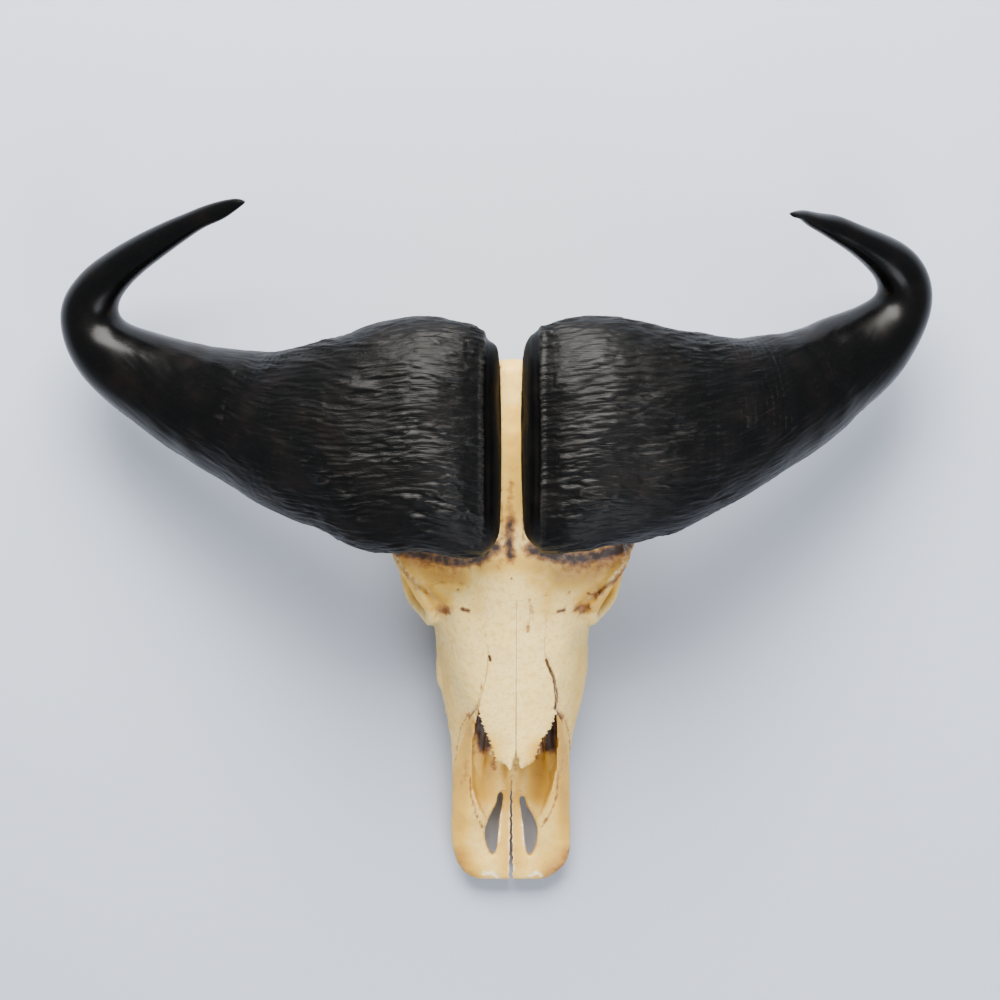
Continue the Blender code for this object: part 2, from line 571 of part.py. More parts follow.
def main():
    clear_scene()
    skull = collection("cape_buffalo_skull")
    cutters = collection("cutters")
    cream = material("cream_bone", BONE, 0.62)
    pale = material("pale_bone", FOREHEAD_BONE, 0.6)
    ochre = material("ochre_bone", OCHRE_BONE, 0.58)
    black = material("black_horn", HORN_BLACK, 0.38)
    ivory = material("tooth_ivory", TOOTH_IVORY, 0.35)

    carrier = bpy.data.objects.new("skull_frame", None)
    skull.objects.link(carrier)
    carrier.location = (-CENTRE_X * MM, -CENTRE_Y * MM, 0.0)

    bone = solid_bone(cutters)
    hollow_bone(bone, cutters)
    reduce_bone(bone)
    seat = as_cutter(grown(bone, "horn_seat", GAP, cutters))

    cranium = copy_of(bone, "cranium", cutters)
    for side, word in ((1, "left"), (-1, "right")):
        nasal = nasal_bone(f"{word}_nasal_bone", side, cutters)
        boolean(cranium, as_cutter(grown(nasal, "nasal_seat", GAP, cutters)), "DIFFERENCE")

        boolean(cranium, premaxilla_region("muzzle_cut", side, 0.0, cutters), "DIFFERENCE")
        premaxilla = copy_of(bone, f"{word}_premaxilla", cutters)
        boolean(premaxilla, premaxilla_region("muzzle_part", side, GAP / MM, cutters), "INTERSECT")

        y = TOOTH_ROW_Y
        for tooth_name, length, width, x in TEETH:
            piece = tooth(f"{word}_{tooth_name}", side, length, width, x, y + length / 2, cutters)
            boolean(cranium, as_cutter(grown(piece, "socket", GAP, cutters)), "DIFFERENCE")
            finish_node(piece, ivory, skull, carrier)
            y += length + TOOTH_SPACE

        sheath = horn(f"{word}_horn", side, LEFT_HORN if side == 1 else RIGHT_HORN, cutters)
        boolean(sheath, seat, "DIFFERENCE")
        finish_node(nasal, pale, skull, carrier)
        finish_node(premaxilla, ochre, skull, carrier)
        finish_node(sheath, black, skull, carrier)
    finish_node(cranium, cream, skull, carrier)
    as_cutter(bone)


main()
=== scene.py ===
# Cape buffalo skull on a pale floor: weathered bone, worn teeth, black horn with grooved bosses.
import math
import time

import bmesh
import bpy
import numpy as np
from mathutils import Matrix, Vector
from mathutils.bvhtree import BVHTree


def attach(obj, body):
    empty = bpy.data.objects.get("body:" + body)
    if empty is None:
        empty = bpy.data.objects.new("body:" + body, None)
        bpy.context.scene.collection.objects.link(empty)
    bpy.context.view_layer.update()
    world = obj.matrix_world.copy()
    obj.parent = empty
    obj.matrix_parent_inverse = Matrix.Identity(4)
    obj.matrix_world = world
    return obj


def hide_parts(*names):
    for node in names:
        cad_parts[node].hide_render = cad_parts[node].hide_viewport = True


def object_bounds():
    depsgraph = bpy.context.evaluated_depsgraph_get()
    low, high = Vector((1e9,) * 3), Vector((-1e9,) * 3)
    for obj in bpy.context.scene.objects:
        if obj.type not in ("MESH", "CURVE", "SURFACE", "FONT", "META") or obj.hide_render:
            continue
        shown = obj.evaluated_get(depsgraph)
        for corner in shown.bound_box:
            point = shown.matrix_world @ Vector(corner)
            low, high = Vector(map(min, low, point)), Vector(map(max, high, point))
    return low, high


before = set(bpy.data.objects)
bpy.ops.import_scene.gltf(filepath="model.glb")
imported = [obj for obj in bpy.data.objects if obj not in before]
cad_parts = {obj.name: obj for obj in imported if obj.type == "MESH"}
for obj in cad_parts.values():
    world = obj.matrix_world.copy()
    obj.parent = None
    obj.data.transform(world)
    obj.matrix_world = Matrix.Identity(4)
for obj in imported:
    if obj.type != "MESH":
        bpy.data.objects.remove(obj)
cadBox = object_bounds()
startTime = time.time()

# Lengths below are millimetres in the skull's own frame: X from the midline to the animal's left,
# Y from the muzzle tip to the neck, Z up from the floor. toPart moves them to the part's frame.
mm = 0.001
toPart = Vector((16.0, -359.5, 0.0))
aboveAll = 0.4      # a height in metres that is above the whole skull


def report(stage):
    print(f"{time.time() - startTime:6.1f} s  {stage}")


# Shapes

def curvePoints(points, count, closed=False):
    # count points on a smooth curve through the points given
    knots = [Vector(point) for point in points]
    spans = len(knots) if closed else len(knots) - 1
    found = []
    for step in range(count):
        along = step * spans / (count if closed else count - 1)
        span = min(int(along), spans - 1)
        part = along - span
        if closed:
            near = [knots[(span + shift) % len(knots)] for shift in (-1, 0, 1, 2)]
        else:
            near = [knots[min(max(span + shift, 0), len(knots) - 1)] for shift in (-1, 0, 1, 2)]
        before, start, end, after = near
        found.append(0.5 * (2 * start + (end - before) * part
                            + (2 * before - 5 * start + 4 * end - after) * part ** 2
                            + (3 * start - before - 3 * end + after) * part ** 3))
    return found


def wrapGrid(shape, rings, closedRun=False):
    # a skin over rings of points: a grid whose sides are joined and whose ends are filled
    runs, sides = len(rings), len(rings[0])
    sheet = bmesh.ops.create_grid(shape, x_segments=runs - (0 if closedRun else 1), y_segments=sides,
                                  size=0.5)["verts"]
    runCount = runs if closedRun else runs - 1
    for vert in sheet:
        run = round((vert.co.x + 0.5) * runCount) % runs
        side = round((vert.co.y + 0.5) * sides) % sides
        vert.co = (Vector(rings[run][side]) + toPart) * mm
    bmesh.ops.remove_doubles(shape, verts=sheet, dist=1e-6)
    loose = {edge for vert in sheet if vert.is_valid for edge in vert.link_edges if edge.is_boundary}
    if loose:
        bmesh.ops.holes_fill(shape, edges=list(loose), sides=0)


def addTube(shape, points, radius, sides=20, steps=48, closed=False):
    # radius holds up and sideways as one pair, or one value for each point
    centres = curvePoints(points, steps, closed)
    rings = []
    for step, centre in enumerate(centres):
        if closed:
            ahead = centres[(step + 1) % steps] - centres[step - 1]
        else:
            ahead = centres[min(step + 1, steps - 1)] - centres[max(step - 1, 0)]
        sideways = ahead.cross(Vector((0, 0, 1)))
        if sideways.length < 0.1 * ahead.length:
            sideways = Vector((1, 0, 0))
        sideways.normalize()
        upwards = sideways.cross(ahead).normalized()
        if len(radius) == 2:
            tall, wide = radius
        else:
            along = step * (len(radius) - 1) / (steps - 1)
            span = min(int(along), len(radius) - 2)
            tall = wide = radius[span] + (radius[span + 1] - radius[span]) * (along - span)
        rings.append([centre + upwards * tall * math.cos(turn) + sideways * wide * math.sin(turn)
                      for turn in (math.tau * side / sides for side in range(sides))])
    wrapGrid(shape, rings, closed)


def addBall(shape, centre, radii, turn=0.0):
    place = (Matrix.Translation((Vector(centre) + toPart) * mm)
             @ Matrix.Rotation(math.radians(turn), 4, "Z") @ Matrix.Diagonal((*(Vector(radii) * mm), 1.0)))
    bmesh.ops.create_icosphere(shape, subdivisions=4, radius=1.0, matrix=place)


def mirrored(points, side):
    return [(side * point[0], *point[1:]) for point in points]


def meshObject(name, shape):
    bmesh.ops.recalc_face_normals(shape, faces=shape.faces)
    mesh = bpy.data.meshes.new(name)
    shape.to_mesh(mesh)
    shape.free()
    made = bpy.data.objects.new(name, mesh)
    bpy.context.scene.collection.objects.link(made)
    return made


def prism(name, outline, low, high, axis):
    # a straight prism on an outline of (X, Y) points along Z, or of (Y, Z) points along X
    shape = bmesh.new()
    if axis == "Z":
        wrapGrid(shape, [[(x, y, level) for x, y in outline] for level in (low, high)])
    else:
        wrapGrid(shape, [[(level, y, z) for y, z in outline] for level in (low, high)])
    return meshObject(name, shape)


def bakeModifiers(thing):
    bpy.context.view_layer.update()
    view = bpy.context.evaluated_depsgraph_get()
    mesh = bpy.data.meshes.new_from_object(thing.evaluated_get(view))
    thing.modifiers.clear()
    thing.data = mesh


def boolean(thing, cutter, operation):
    step = thing.modifiers.new(operation.lower(), "BOOLEAN")
    step.operation = operation
    step.solver = "EXACT"
    step.object = cutter
    bakeModifiers(thing)
    bpy.data.objects.remove(cutter, do_unlink=True)


def copyOf(thing, name):
    made = bpy.data.objects.new(name, thing.data.copy())
    bpy.context.scene.collection.objects.link(made)
    return made


def moveAlongNormals(thing, distances):
    # distances in millimetres, one for each vertex or one for all
    count = len(thing.data.vertices)
    places, normals = np.empty(count * 3), np.empty(count * 3, np.float32)
    thing.data.vertices.foreach_get("co", places)
    thing.data.vertex_normals.foreach_get("vector", normals)
    moved = places.reshape(-1, 3) + normals.reshape(-1, 3) * np.reshape(distances, (-1, 1)) * mm
    thing.data.vertices.foreach_set("co", moved.ravel())
    thing.data.update()


def skullPlaces(thing):
    # the places of a piece's vertices in the skull's own frame, in millimetres
    places = np.empty(len(thing.data.vertices) * 3)
    thing.data.vertices.foreach_get("co", places)
    return places.reshape(-1, 3) / mm - np.array(toPart)


def lumps(points, seed):
    # smooth random heights from -1 to 1, one lump for each unit of length
    lattice = np.random.default_rng(seed).uniform(-1, 1, (64, 64, 64))
    whole = np.floor(points).astype(int)
    part = points - whole
    part = part * part * (3 - 2 * part)
    total = 0.0
    for corner in range(8):
        shift = np.array((corner & 1, corner >> 1 & 1, corner >> 2))
        index = (whole + shift) % 64
        weight = np.prod(np.where(shift == 1, part, 1 - part), axis=1)
        total = total + weight * lattice[index[:, 0], index[:, 1], index[:, 2]]
    return total


def ramp(value, low, high):
    share = np.clip((value - low) / (high - low), 0, 1)
    return share * share * (3 - 2 * share)


def hump(value, rise, full, fall, end):
    # 0 before rise, 1 from full to fall, and 0 again after end
    return ramp(value, rise, full) * (1 - ramp(value, fall, end))


def distanceToLine(places, points):
    # the shortest distance from each place to a line of straight pieces
    line = np.array([tuple(point) for point in points], float)
    nearest = np.full(len(places), 1e9)
    for start, end in zip(line, line[1:]):
        run = end - start
        share = np.clip((places - start) @ run / (run @ run), 0, 1)
        nearest = np.minimum(nearest, np.linalg.norm(places - start - share[:, None] * run, axis=1))
    return nearest


# Bone: half sections of the fused skull. Each row has a Y and nine points (X, Z) from the roof's
# midline round the cheek to the midline of the palate or the skull's base.
boneForm = {
    "face": (
        (1, ((0, 28), (16, 28), (28, 27), (35, 24), (38, 20), (36, 16), (30, 13), (15, 13), (0, 13))),
        (8, ((0, 31), (20, 31), (38, 30), (47, 27), (51, 21), (48, 16), (42, 12), (20, 12), (0, 12))),
        (20, ((0, 34), (24, 34), (46, 34), (56, 30), (60.5, 23), (57, 16), (50, 12), (24, 12), (0, 12))),
        (35, ((0, 36), (24, 37), (48, 38), (59, 34), (64, 27), (61, 19), (52, 13), (24, 13), (0, 13))),
        (60, ((0, 42), (22, 44), (46, 49), (58, 43), (64.5, 33), (62, 23), (54, 16), (26, 16), (0, 16))),
        (90, ((0, 58), (22, 60), (42, 64), (55, 55), (64, 42), (62, 30), (55, 20), (28, 20), (0, 21))),
        (120, ((0, 78), (20, 80), (38, 82), (52, 66), (63, 46), (61, 34), (54, 22), (27, 23), (0, 25))),
        (140, ((0, 92), (18, 95), (36, 95), (51, 76), (63, 50), (61, 36), (55, 23), (27, 25), (0, 28))),
        (162, ((0, 108), (16, 112), (33, 110), (50, 88), (65, 58), (64, 40), (59, 25), (28, 28), (0, 31))),
        (192, ((0, 136), (22, 132), (39, 123), (57, 100), (72, 68), (70, 45), (66, 26), (30, 31), (0, 34))),
        (232, ((0, 150), (28, 147), (50, 138), (67, 112), (80, 72), (76, 48), (71, 26), (33, 33), (0, 36))),
        (265, ((0, 161), (30, 158), (54, 150), (70, 125), (79, 88), (77, 55), (73, 26), (34, 34), (0, 37))),
        (295, ((0, 171), (32, 169), (60, 163), (75, 140), (82, 105), (80, 62), (74, 27), (34, 35), (0, 38))),
        (316, ((0, 179), (40, 178), (72, 170), (82, 150), (84, 115), (76, 70), (66, 34), (30, 36), (0, 39))),
        (328, ((0, 183), (40, 181), (76, 172), (80, 150), (76, 116), (60, 84), (44, 66), (20, 60), (0, 60))),
    ),
    "brain": (
        (300, ((0, 173), (34, 171), (64, 163), (72, 142), (64, 115), (48, 96), (30, 80), (15, 76), (0, 75))),
        (335, ((0, 187), (45, 184), (86, 175), (97, 166), (54, 142), (42, 112), (30, 86), (15, 76), (0, 75))),
        (356, ((0, 194), (55, 190), (103, 178), (117, 169), (72, 150), (46, 116), (32, 86), (15, 74), (0, 73))),
        (385, ((0, 203), (50, 199), (95, 186), (110, 168), (68, 142), (50, 113), (34, 84), (16, 72), (0, 70))),
        (430, ((0, 217), (45, 212), (84, 194), (98, 166), (60, 138), (54, 112), (38, 84), (18, 68), (0, 66))),
        (480, ((0, 229), (42, 222), (80, 198), (94, 166), (64, 138), (60, 112), (44, 84), (20, 64), (0, 62))),
        (520, ((0, 232), (40, 224), (76, 200), (90, 168), (76, 140), (74, 112), (52, 84), (24, 66), (0, 64))),
        (545, ((0, 232), (38, 222), (70, 198), (84, 168), (88, 138), (84, 108), (60, 82), (30, 68), (0, 66))),
        (555, ((0, 222), (28, 212), (54, 190), (68, 164), (72, 136), (64, 110), (45, 88), (24, 76), (0, 74))),
        (561, ((0, 207), (18, 199), (36, 180), (48, 158), (50, 136), (43, 114), (30, 96), (16, 84), (0, 80))),
    ),
    "nuchalLean": 0.22, "nuchalStart": 480.0, "nuchalEnd": 555.0, "crestHeight": 225.0,
    "noseLean": 4.0, "leanFrom": 45.0, "leanDepth": 50.0, "leanEnd": 290.0, "leanRun": 70.0,
    "blockVoxel": 2.6, "skinVoxel": 2.4, "smoothSteps": 3,
}
# Free parts of the bone on the animal's left: points, then the tube's radii
boneTubes = {
    "orbitRim": (((84, 300, 151), (98, 322, 163), (115, 348, 168), (121, 362, 146), (119, 360, 112),
                  (114, 338, 94), (107, 312, 93), (94, 296, 106), (84, 290, 128)),
                 (7.5, 6.5, 5.5, 6.0, 5.0, 5.5, 6.5, 7.0, 7.5), True),
    "cheekArch": (((84, 282, 78), (104, 312, 84), (113, 345, 88), (114, 380, 92), (109, 415, 92),
                   (99, 448, 90), (84, 476, 92)), (11.0, 6.0), False),
    "barBehindEye": (((112, 352, 168), (121, 366, 146), (121, 374, 118), (114, 374, 96)), (6.0, 7.5), False),
    "paracondylar": (((58, 520, 88), (60, 527, 60), (60, 533, 30), (59, 536, 0.8)),
                     (16.0, 12.0, 8.5, 5.0), False),
}
boneBalls = (
    ((25, 540, 78), (15, 22, 22)),       # occipital condyle
    ((43, 486, 62), (12, 21, 19)),       # bulla of the ear
    ((76, 468, 84), (22, 13, 9)),        # jaw hinge
    ((71, 234, 68), (10, 26, 13)),       # facial tuber
)
nuchalKnob = ((0, 546, 205), (16, 10, 16))
hollowBalls = (
    ((106, 330, 129), (50, 29, 31), -14),   # eye socket, turned a little forwards
    ((74, 297, 158), (9, 7, 7), 0),         # lacrimal pit
)
middleHollows = (
    ((0, 552, 98), (19, 50, 16)),        # foramen magnum
    ((0, 352, 52), (17, 60, 17)),        # choana
)
noseRows = {
    "open": ((26, -8, 12, 40, 240), (44, -17, 19, 37, 240), (64, -25, 25, 34.5, 240),
             (80, -34, 34, 31, 240), (105, -41, 43, 31, 240), (130, -42, 48, 32, 240),
             (155, -41, 49, 34, 240), (178, -37, 48, 37, 240), (194, -33, 45, 40, 240)),
    "passage": ((150, -39, 46, 36, 98), (190, -38, 46, 40, 114), (240, -34, 40, 45, 130),
                (288, -22, 26, 54, 136)),
}
fissure = ((21, 26.5), (26, 36), (28.5, 48), (28, 60), (23, 72), (17, 82), (13.8, 94), (9, 98), (8.8, 88),
           (11, 73), (13.5, 57), (15, 40), (17, 30))
fissureLevels = (-10, 60)
noseWall = ((1.0, 24), (0.93, 11), (0.72, 3), (0.35, 0))        # share of the half width, height
innerTubes = {
    "skullBase": (((0, 318, 82), (0, 370, 76), (0, 430, 70), (0, 490, 68), (0, 545, 74)), (10.0, 17.0)),
    "vomer": (((1, 92, 28), (3, 140, 38), (4, 190, 46), (4, 250, 58)), (8.0, 8.0)),
    "turbinate": (((38, 100, 29), (38, 118, 35), (38, 146, 48), (35, 172, 62), (30, 215, 76)),
                  (2.5, 5.0, 6.5, 7.0, 7.0)),
    "pterygoid": (((25, 312, 46), (24, 340, 50), (22, 370, 56), (21, 398, 62)), (18.0, 4.3)),
}


def limited(value):
    return min(1.0, max(0.0, value))


def sectionRing(y, half):
    form = boneForm
    run = form["nuchalEnd"] - form["nuchalStart"]
    slope = form["nuchalLean"] * limited((y - form["nuchalStart"]) / run)
    line = curvePoints([(x, y + slope * (z - form["crestHeight"]), z) for x, z in half], 33)
    ring = line + [Vector((-point.x, point.y, point.z)) for point in reversed(line[1:-1])]
    for point in ring:
        point.x += (form["noseLean"] * limited((point.z - form["leanFrom"]) / form["leanDepth"])
                    * limited((form["leanEnd"] - y) / form["leanRun"]))
    return ring


def noseLoft(name, rows):
    rings = []
    for y, right, left, floor, top in rows:
        middle, half = (right + left) / 2, (left - right) / 2
        side = [(1.0, top), *[(part, floor + rise) for part, rise in noseWall]]
        ring = [(middle + half * part, y, z) for part, z in side]
        rings.append(ring + [(middle - half * part, y, z) for part, z in reversed(side)])
    shape = bmesh.new()
    wrapGrid(shape, rings)
    return meshObject(name, shape)


def fuse(thing, voxel):
    skin = thing.modifiers.new("skin", "REMESH")
    skin.mode = "VOXEL"
    skin.voxel_size = voxel * mm
    bakeModifiers(thing)


def fusedBone():
    shape = bmesh.new()
    wrapGrid(shape, [sectionRing(y, half) for y, half in boneForm["face"]])
    wrapGrid(shape, [sectionRing(y, half) for y, half in boneForm["brain"]])
    addTube(shape, *innerTubes["skullBase"])
    addBall(shape, *nuchalKnob)
    for side in (-1, 1):
        for points, radii, closed in boneTubes.values():
            addTube(shape, mirrored(points, side), radii, closed=closed)
        for centre, radii in boneBalls:
            addBall(shape, (side * centre[0], *centre[1:]), radii)
    bone = meshObject("bone", shape)
    fuse(bone, boneForm["blockVoxel"])
    report(f"bone fused, {len(bone.data.polygons)} faces")

    holes = bmesh.new()
    for centre, radii in middleHollows:
        addBall(holes, centre, radii)
    for side in (-1, 1):
        for centre, radii, turn in hollowBalls:
            addBall(holes, (side * centre[0], *centre[1:]), radii, side * turn)
        outline = [(p.x, p.y) for p in curvePoints([(side * x, y, 0) for x, y in fissure], 40, True)]
        wrapGrid(holes, [[(x, y, level) for x, y in outline] for level in fissureLevels])
    for cutter in (noseLoft("openNose", noseRows["open"]), noseLoft("nosePassage", noseRows["passage"]),
                   meshObject("holes", holes)):
        boolean(bone, cutter, "DIFFERENCE")
    inside = bmesh.new()
    inside.from_mesh(bone.data)
    addTube(inside, *innerTubes["vomer"])
    for side in (-1, 1):
        points, radii = innerTubes["turbinate"]
        addTube(inside, [(side * x + boneForm["noseLean"], y, z) for x, y, z in points], radii)
        addTube(inside, mirrored(innerTubes["pterygoid"][0], side), innerTubes["pterygoid"][1])
    inside.to_mesh(bone.data)
    inside.free()
    fuse(bone, boneForm["skinVoxel"])
    soften = bone.modifiers.new("soften", "SMOOTH")
    soften.iterations = boneForm["smoothSteps"]
    soften.factor = 0.5
    bakeModifiers(bone)
    return bone


bone = fusedBone()
report(f"bone skinned, {len(bone.data.polygons)} faces")

# Strokes that model the finer forms on the bone's left: points, half width and height in
# millimetres, then the sides that they are on. A height below zero is a groove or a hole.
boneStrokes = {
    "browMargin": (((90, 314, 168), (103, 338, 173), (115, 356, 172), (120, 374, 168)), 4.5, 1.5, (1, -1)),
    "browHollow": (((70, 318, 178), (88, 340, 180), (98, 356, 184)), 9.0, -2.2, (1, -1)),
    "rimCrease": (((116, 346, 164), (107, 332, 163), (96, 320, 161), (88, 312, 158)), 2.4, -1.8, (1, -1)),
    "browRidge": (((84, 325, 172), (74, 327, 174), (57, 328, 178), (45, 324, 179)), 2.0, 0.8, (-1,)),
    "outerHollow": (((108, 318, 150), (100, 306, 140)), 7.0, -1.4, (1, -1)),
    "slit": (((43, 300.5, 166), (49, 300, 165)), 1.8, -2.4, (1, -1)),
    "browStep": (((34, 293, 170), (52, 293, 165), (66, 290, 158)), 2.6, -0.9, (1, -1)),
    "lacrimalRim": (((66, 306, 166), (76, 306, 164), (86, 302, 156)), 3.0, 1.1, (1, -1)),
    "facialCrest": (((80, 276, 96), (77, 254, 82), (72, 232, 70), (66, 205, 56)), 6.0, 1.8, (1, -1)),
    "infraorbitalHole": (((60, 186, 64), (60, 181, 63)), 4.0, -5.0, (1, -1)),
    "zygomaticSuture": (((86, 270, 70), (84, 280, 92), (82, 292, 118), (84, 300, 140)), 1.6, -0.8, (1, -1)),
    "archSuture": (((118, 372, 100), (116, 392, 92), (112, 408, 84)), 1.6, -0.9, (1, -1)),
    "nuchalCrest": (((0, 562, 226), (36, 558, 220), (66, 553, 200), (86, 548, 168)), 6.0, 2.6, (1, -1)),
    "napePit": (((26, 566, 196), (34, 564, 176)), 12.0, -3.0, (1, -1)),
    "napeLine": (((8, 566, 150), (34, 562, 146), (60, 556, 132)), 4.0, 1.2, (1, -1)),
    "earCanal": (((84, 500, 112), (70, 500, 110)), 5.0, -6.0, (1, -1)),
    "palateSuture": (((0, 100, 24), (0, 200, 34), (0, 300, 38)), 1.8, -1.0, (1,)),
    "palatineSuture": (((0, 262, 37), (16, 266, 36), (32, 258, 34)), 1.8, -1.0, (1, -1)),
    "palatineHole": (((25, 270, 34), (25, 266, 34)), 3.0, -4.0, (1, -1)),
    "napeRidge": (((0, 568, 206), (0, 562, 160), (0, 556, 120)), 5.0, 2.6, (1,)),
    "skullBaseSuture": (((-16, 470, 60), (16, 470, 60)), 2.2, -1.4, (1,)),
    "templeRough": (((70, 430, 150), (62, 470, 140)), 16.0, -1.5, (1, -1)),
    "foreheadPit": (((13.5, 330.5, 186), (13.6, 331, 186)), 1.6, -1.6, (1,)),
    "leftPore": (((59.5, 316.8, 174), (60, 316.8, 174)), 1.9, -2.6, (1,)),
    "smallPore": (((35, 314, 177), (35.5, 314, 177)), 1.6, -2.0, (1,)),
    "sutureLine": (((37, 299, 168), (35, 282, 163), (33, 266, 157)), 1.7, -0.8, (1,)),
    "rightSutureLine": (((-33, 299, 168), (-31, 284, 164), (-33, 268, 157)), 1.7, -0.8, (1,)),
    "rightPore": (((-55.8, 320, 176), (-55.5, 320, 176)), 1.9, -2.6, (1,)),
    "browCrack": (((79, 316, 170), (86, 314, 166), (93, 320, 167), (101, 326, 167)), 2.0, -2.0, (1,)),
    "browChip": (((86, 311, 164), (91, 312, 163)), 2.4, -1.8, (1,)),
    "erodedSuture": (((36, 247, 150), (40, 240, 147), (45, 226, 142), (47, 214, 137), (47, 202, 131)),
                     2.4, -1.6, (1,)),
    "rightSuturePit": (((-25.5, 249, 156), (-25, 247, 156)), 2.2, -2.0, (1,)),
}
rootBulge = {"width": 5.0, "height": 1.4, "side": 71.0, "low": 27.0, "high": 50.0}
teeth = (
    ("second_premolar", 14, 11, 49), ("third_premolar", 17, 15, 51), ("fourth_premolar", 18, 19, 53),
    ("first_molar", 24, 22, 55), ("second_molar", 28, 24, 57), ("third_molar", 30, 24, 58),
)
toothRow = {"start": 162.0, "space": 1.0, "alveolus": 26.0, "root": 9.0}
boneGrain = ((26.0, 0.8, 11), (9.0, 0.38, 12), (4.5, 0.22, 13))     # size, height, seed
restingBelow = 3.0      # faces lower than this lie on the floor and stay flat
socketGap = 0.5


def sculptBone(thing):
    # grain, strokes and the bulges of the tooth roots, all pushed along the normals at once
    places = skullPlaces(thing)
    height = np.zeros(len(places))
    for size, tall, seed in boneGrain:
        height += tall * lumps(places / size, seed)
    for points, width, tall, sides in boneStrokes.values():
        for side in sides:
            away = distanceToLine(places, mirrored(points, side))
            height += tall * np.exp(-(away / width) ** 2)
    y = toothRow["start"]
    for _, length, _, _ in teeth:
        for side in (-1, 1):
            line = [(side * rootBulge["side"], y + length / 2, rootBulge["low"]),
                    (side * rootBulge["side"], y + length / 2, rootBulge["high"])]
            height += rootBulge["height"] * np.exp(-(distanceToLine(places, line) / rootBulge["width"]) ** 2)
        y += length + toothRow["space"]
    resting = places[:, 2] < restingBelow
    height[resting] = 0
    moveAlongNormals(thing, height)


sculptBone(bone)
report("bone sculpted")

# Nasal bones: outer edge from the suture for each side, roof heights, and the notched tip
nasal = {
    "sutureX": 4.8, "thickness": 5.0, "gap": 0.35, "rows": 170, "across": 44, "under": 14,
    "inner": ((129, 1.6), (141, 1.4), (150, 0.55), (309, 0.3)),
    "roof": ((129, 118), (133, 120), (139, 122), (152, 126), (172, 132), (192, 139), (213, 146),
             (240, 154.6), (266, 163.4), (280, 167.8), (292, 171.4), (300, 174.0), (309, 177.1)),
    "crown": ((129, 8.5), (245, 8.5), (280, 5.2), (300, 3.0), (309, 2.4)),
    "outer": {1: ((129, 19), (137.5, 20), (148, 23), (160, 26.5), (165, 30), (170, 34), (176, 37.5),
                  (191, 42), (203, 42.6), (218, 41.5), (230, 38.5), (246, 32), (256, 29.6), (275, 29.8),
                  (290, 30.4), (299, 28), (304, 23), (307, 13), (309, 3)),
              -1: ((129, 21), (138, 22.1), (152, 25.4), (160, 27.5), (169, 31.3), (178, 35), (192, 38.5),
                   (210, 35.8), (232, 30.8), (256, 29.3), (270, 31.4), (290, 30.2), (299, 27.5), (304, 22.5),
                   (307, 13), (309, 3))},
    "tip": {1: ((0.0, 12.5), (0.08, 11), (0.12, 3.5), (0.24, 1.2), (0.31, 1.5), (0.4, 3.4), (0.55, 5.2),
                (0.66, 4.6), (0.8, 6.6), (0.92, 7.6), (1.0, 9.5)),
            -1: ((0.0, 12.5), (0.08, 10), (0.12, 4.5), (0.26, -0.6), (0.33, 0.2), (0.42, 3.6), (0.55, 5.4),
                 (0.68, 7.4), (0.8, 7.8), (0.92, 7.6), (1.0, 9.0))},
    "tipFade": 11.0, "jag": 1.7, "freeEdge": 196.0, "easeFrom": 262.0, "easeRun": 24.0, "clear": 1.2,
    "start": 129.0, "end": 309.0, "flank": 0.3,
}


def valueAt(table, place):
    keys, values = zip(*table)
    return float(np.interp(place, keys, values))


def nasalBone(name, side):
    # a thin shell, row by row from its notched tip to its rear end
    rings = []
    wanted = nasal["across"]
    shares = [step / (wanted - 1) for step in range(wanted)]
    outline = [(y, x, 0) for y, x in nasal["outer"][side]]
    outline = [(point.x, point.y) for point in curvePoints(outline, 200)]
    for row in range(nasal["rows"]):
        y = nasal["start"] + (nasal["end"] - nasal["start"]) * row / (nasal["rows"] - 1)
        outer = valueAt(outline, y)
        free = limited((nasal["freeEdge"] - y) / 8)
        broken = math.sin(y * 1.5 + side) + math.sin(y * 0.83 + 2 * side) + 0.7 * math.sin(y * 2.9)
        outer += nasal["jag"] * (free * 0.42 * broken + (1 - free) * 0.16 * math.sin(y * 0.7 + side))
        inner, roof = valueAt(nasal["inner"], y), valueAt(nasal["roof"], y)
        fade = math.exp(-(y - nasal["start"]) / nasal["tipFade"])
        top = []
        for share in shares:
            across = inner + (outer - inner) * share
            back = valueAt(nasal["tip"][side], share) + 0.4 * math.sin(across * 2.3 + side)
            rounded = 0.8 * (max(0, share - 0.94) / 0.06) ** 2 * (y < nasal["easeFrom"])
            drop = valueAt(nasal["crown"], y) * (across / 40.0) ** 2 + rounded
            top.append(Vector((nasal["sutureX"] + side * across, y + back * fade, roof - drop)))
        under = []
        for step in range(nasal["under"]):
            share = 1 - step / (nasal["under"] - 1)
            spot = top[round(share * (wanted - 1))]
            under.append(spot - Vector((0, 0, nasal["thickness"] - 1.5 * fade)))
        rings.append(top + under)
    shape = bmesh.new()
    wrapGrid(shape, rings)
    return meshObject(name, shape)


def easeIntoForehead(roof, seat, forehead):
    # towards its rear end a nasal bone lies level with the forehead, and its seam closes
    for vert, cut in zip(roof.data.vertices, seat.data.vertices):
        share = limited((vert.co.y / mm - toPart.y - nasal["easeFrom"]) / nasal["easeRun"])
        facesUp = vert.normal.z >= nasal["flank"]
        if share and facesUp:
            spot = forehead.ray_cast(Vector((vert.co.x, vert.co.y, aboveAll)), Vector((0, 0, -1)))[0]
            vert.co.z += (spot.z - vert.co.z) * share
            cut.co.z = vert.co.z + nasal["clear"] * mm
        elif share:
            cut.co += (vert.co - cut.co) * share
    roof.data.update()
    seat.data.update()


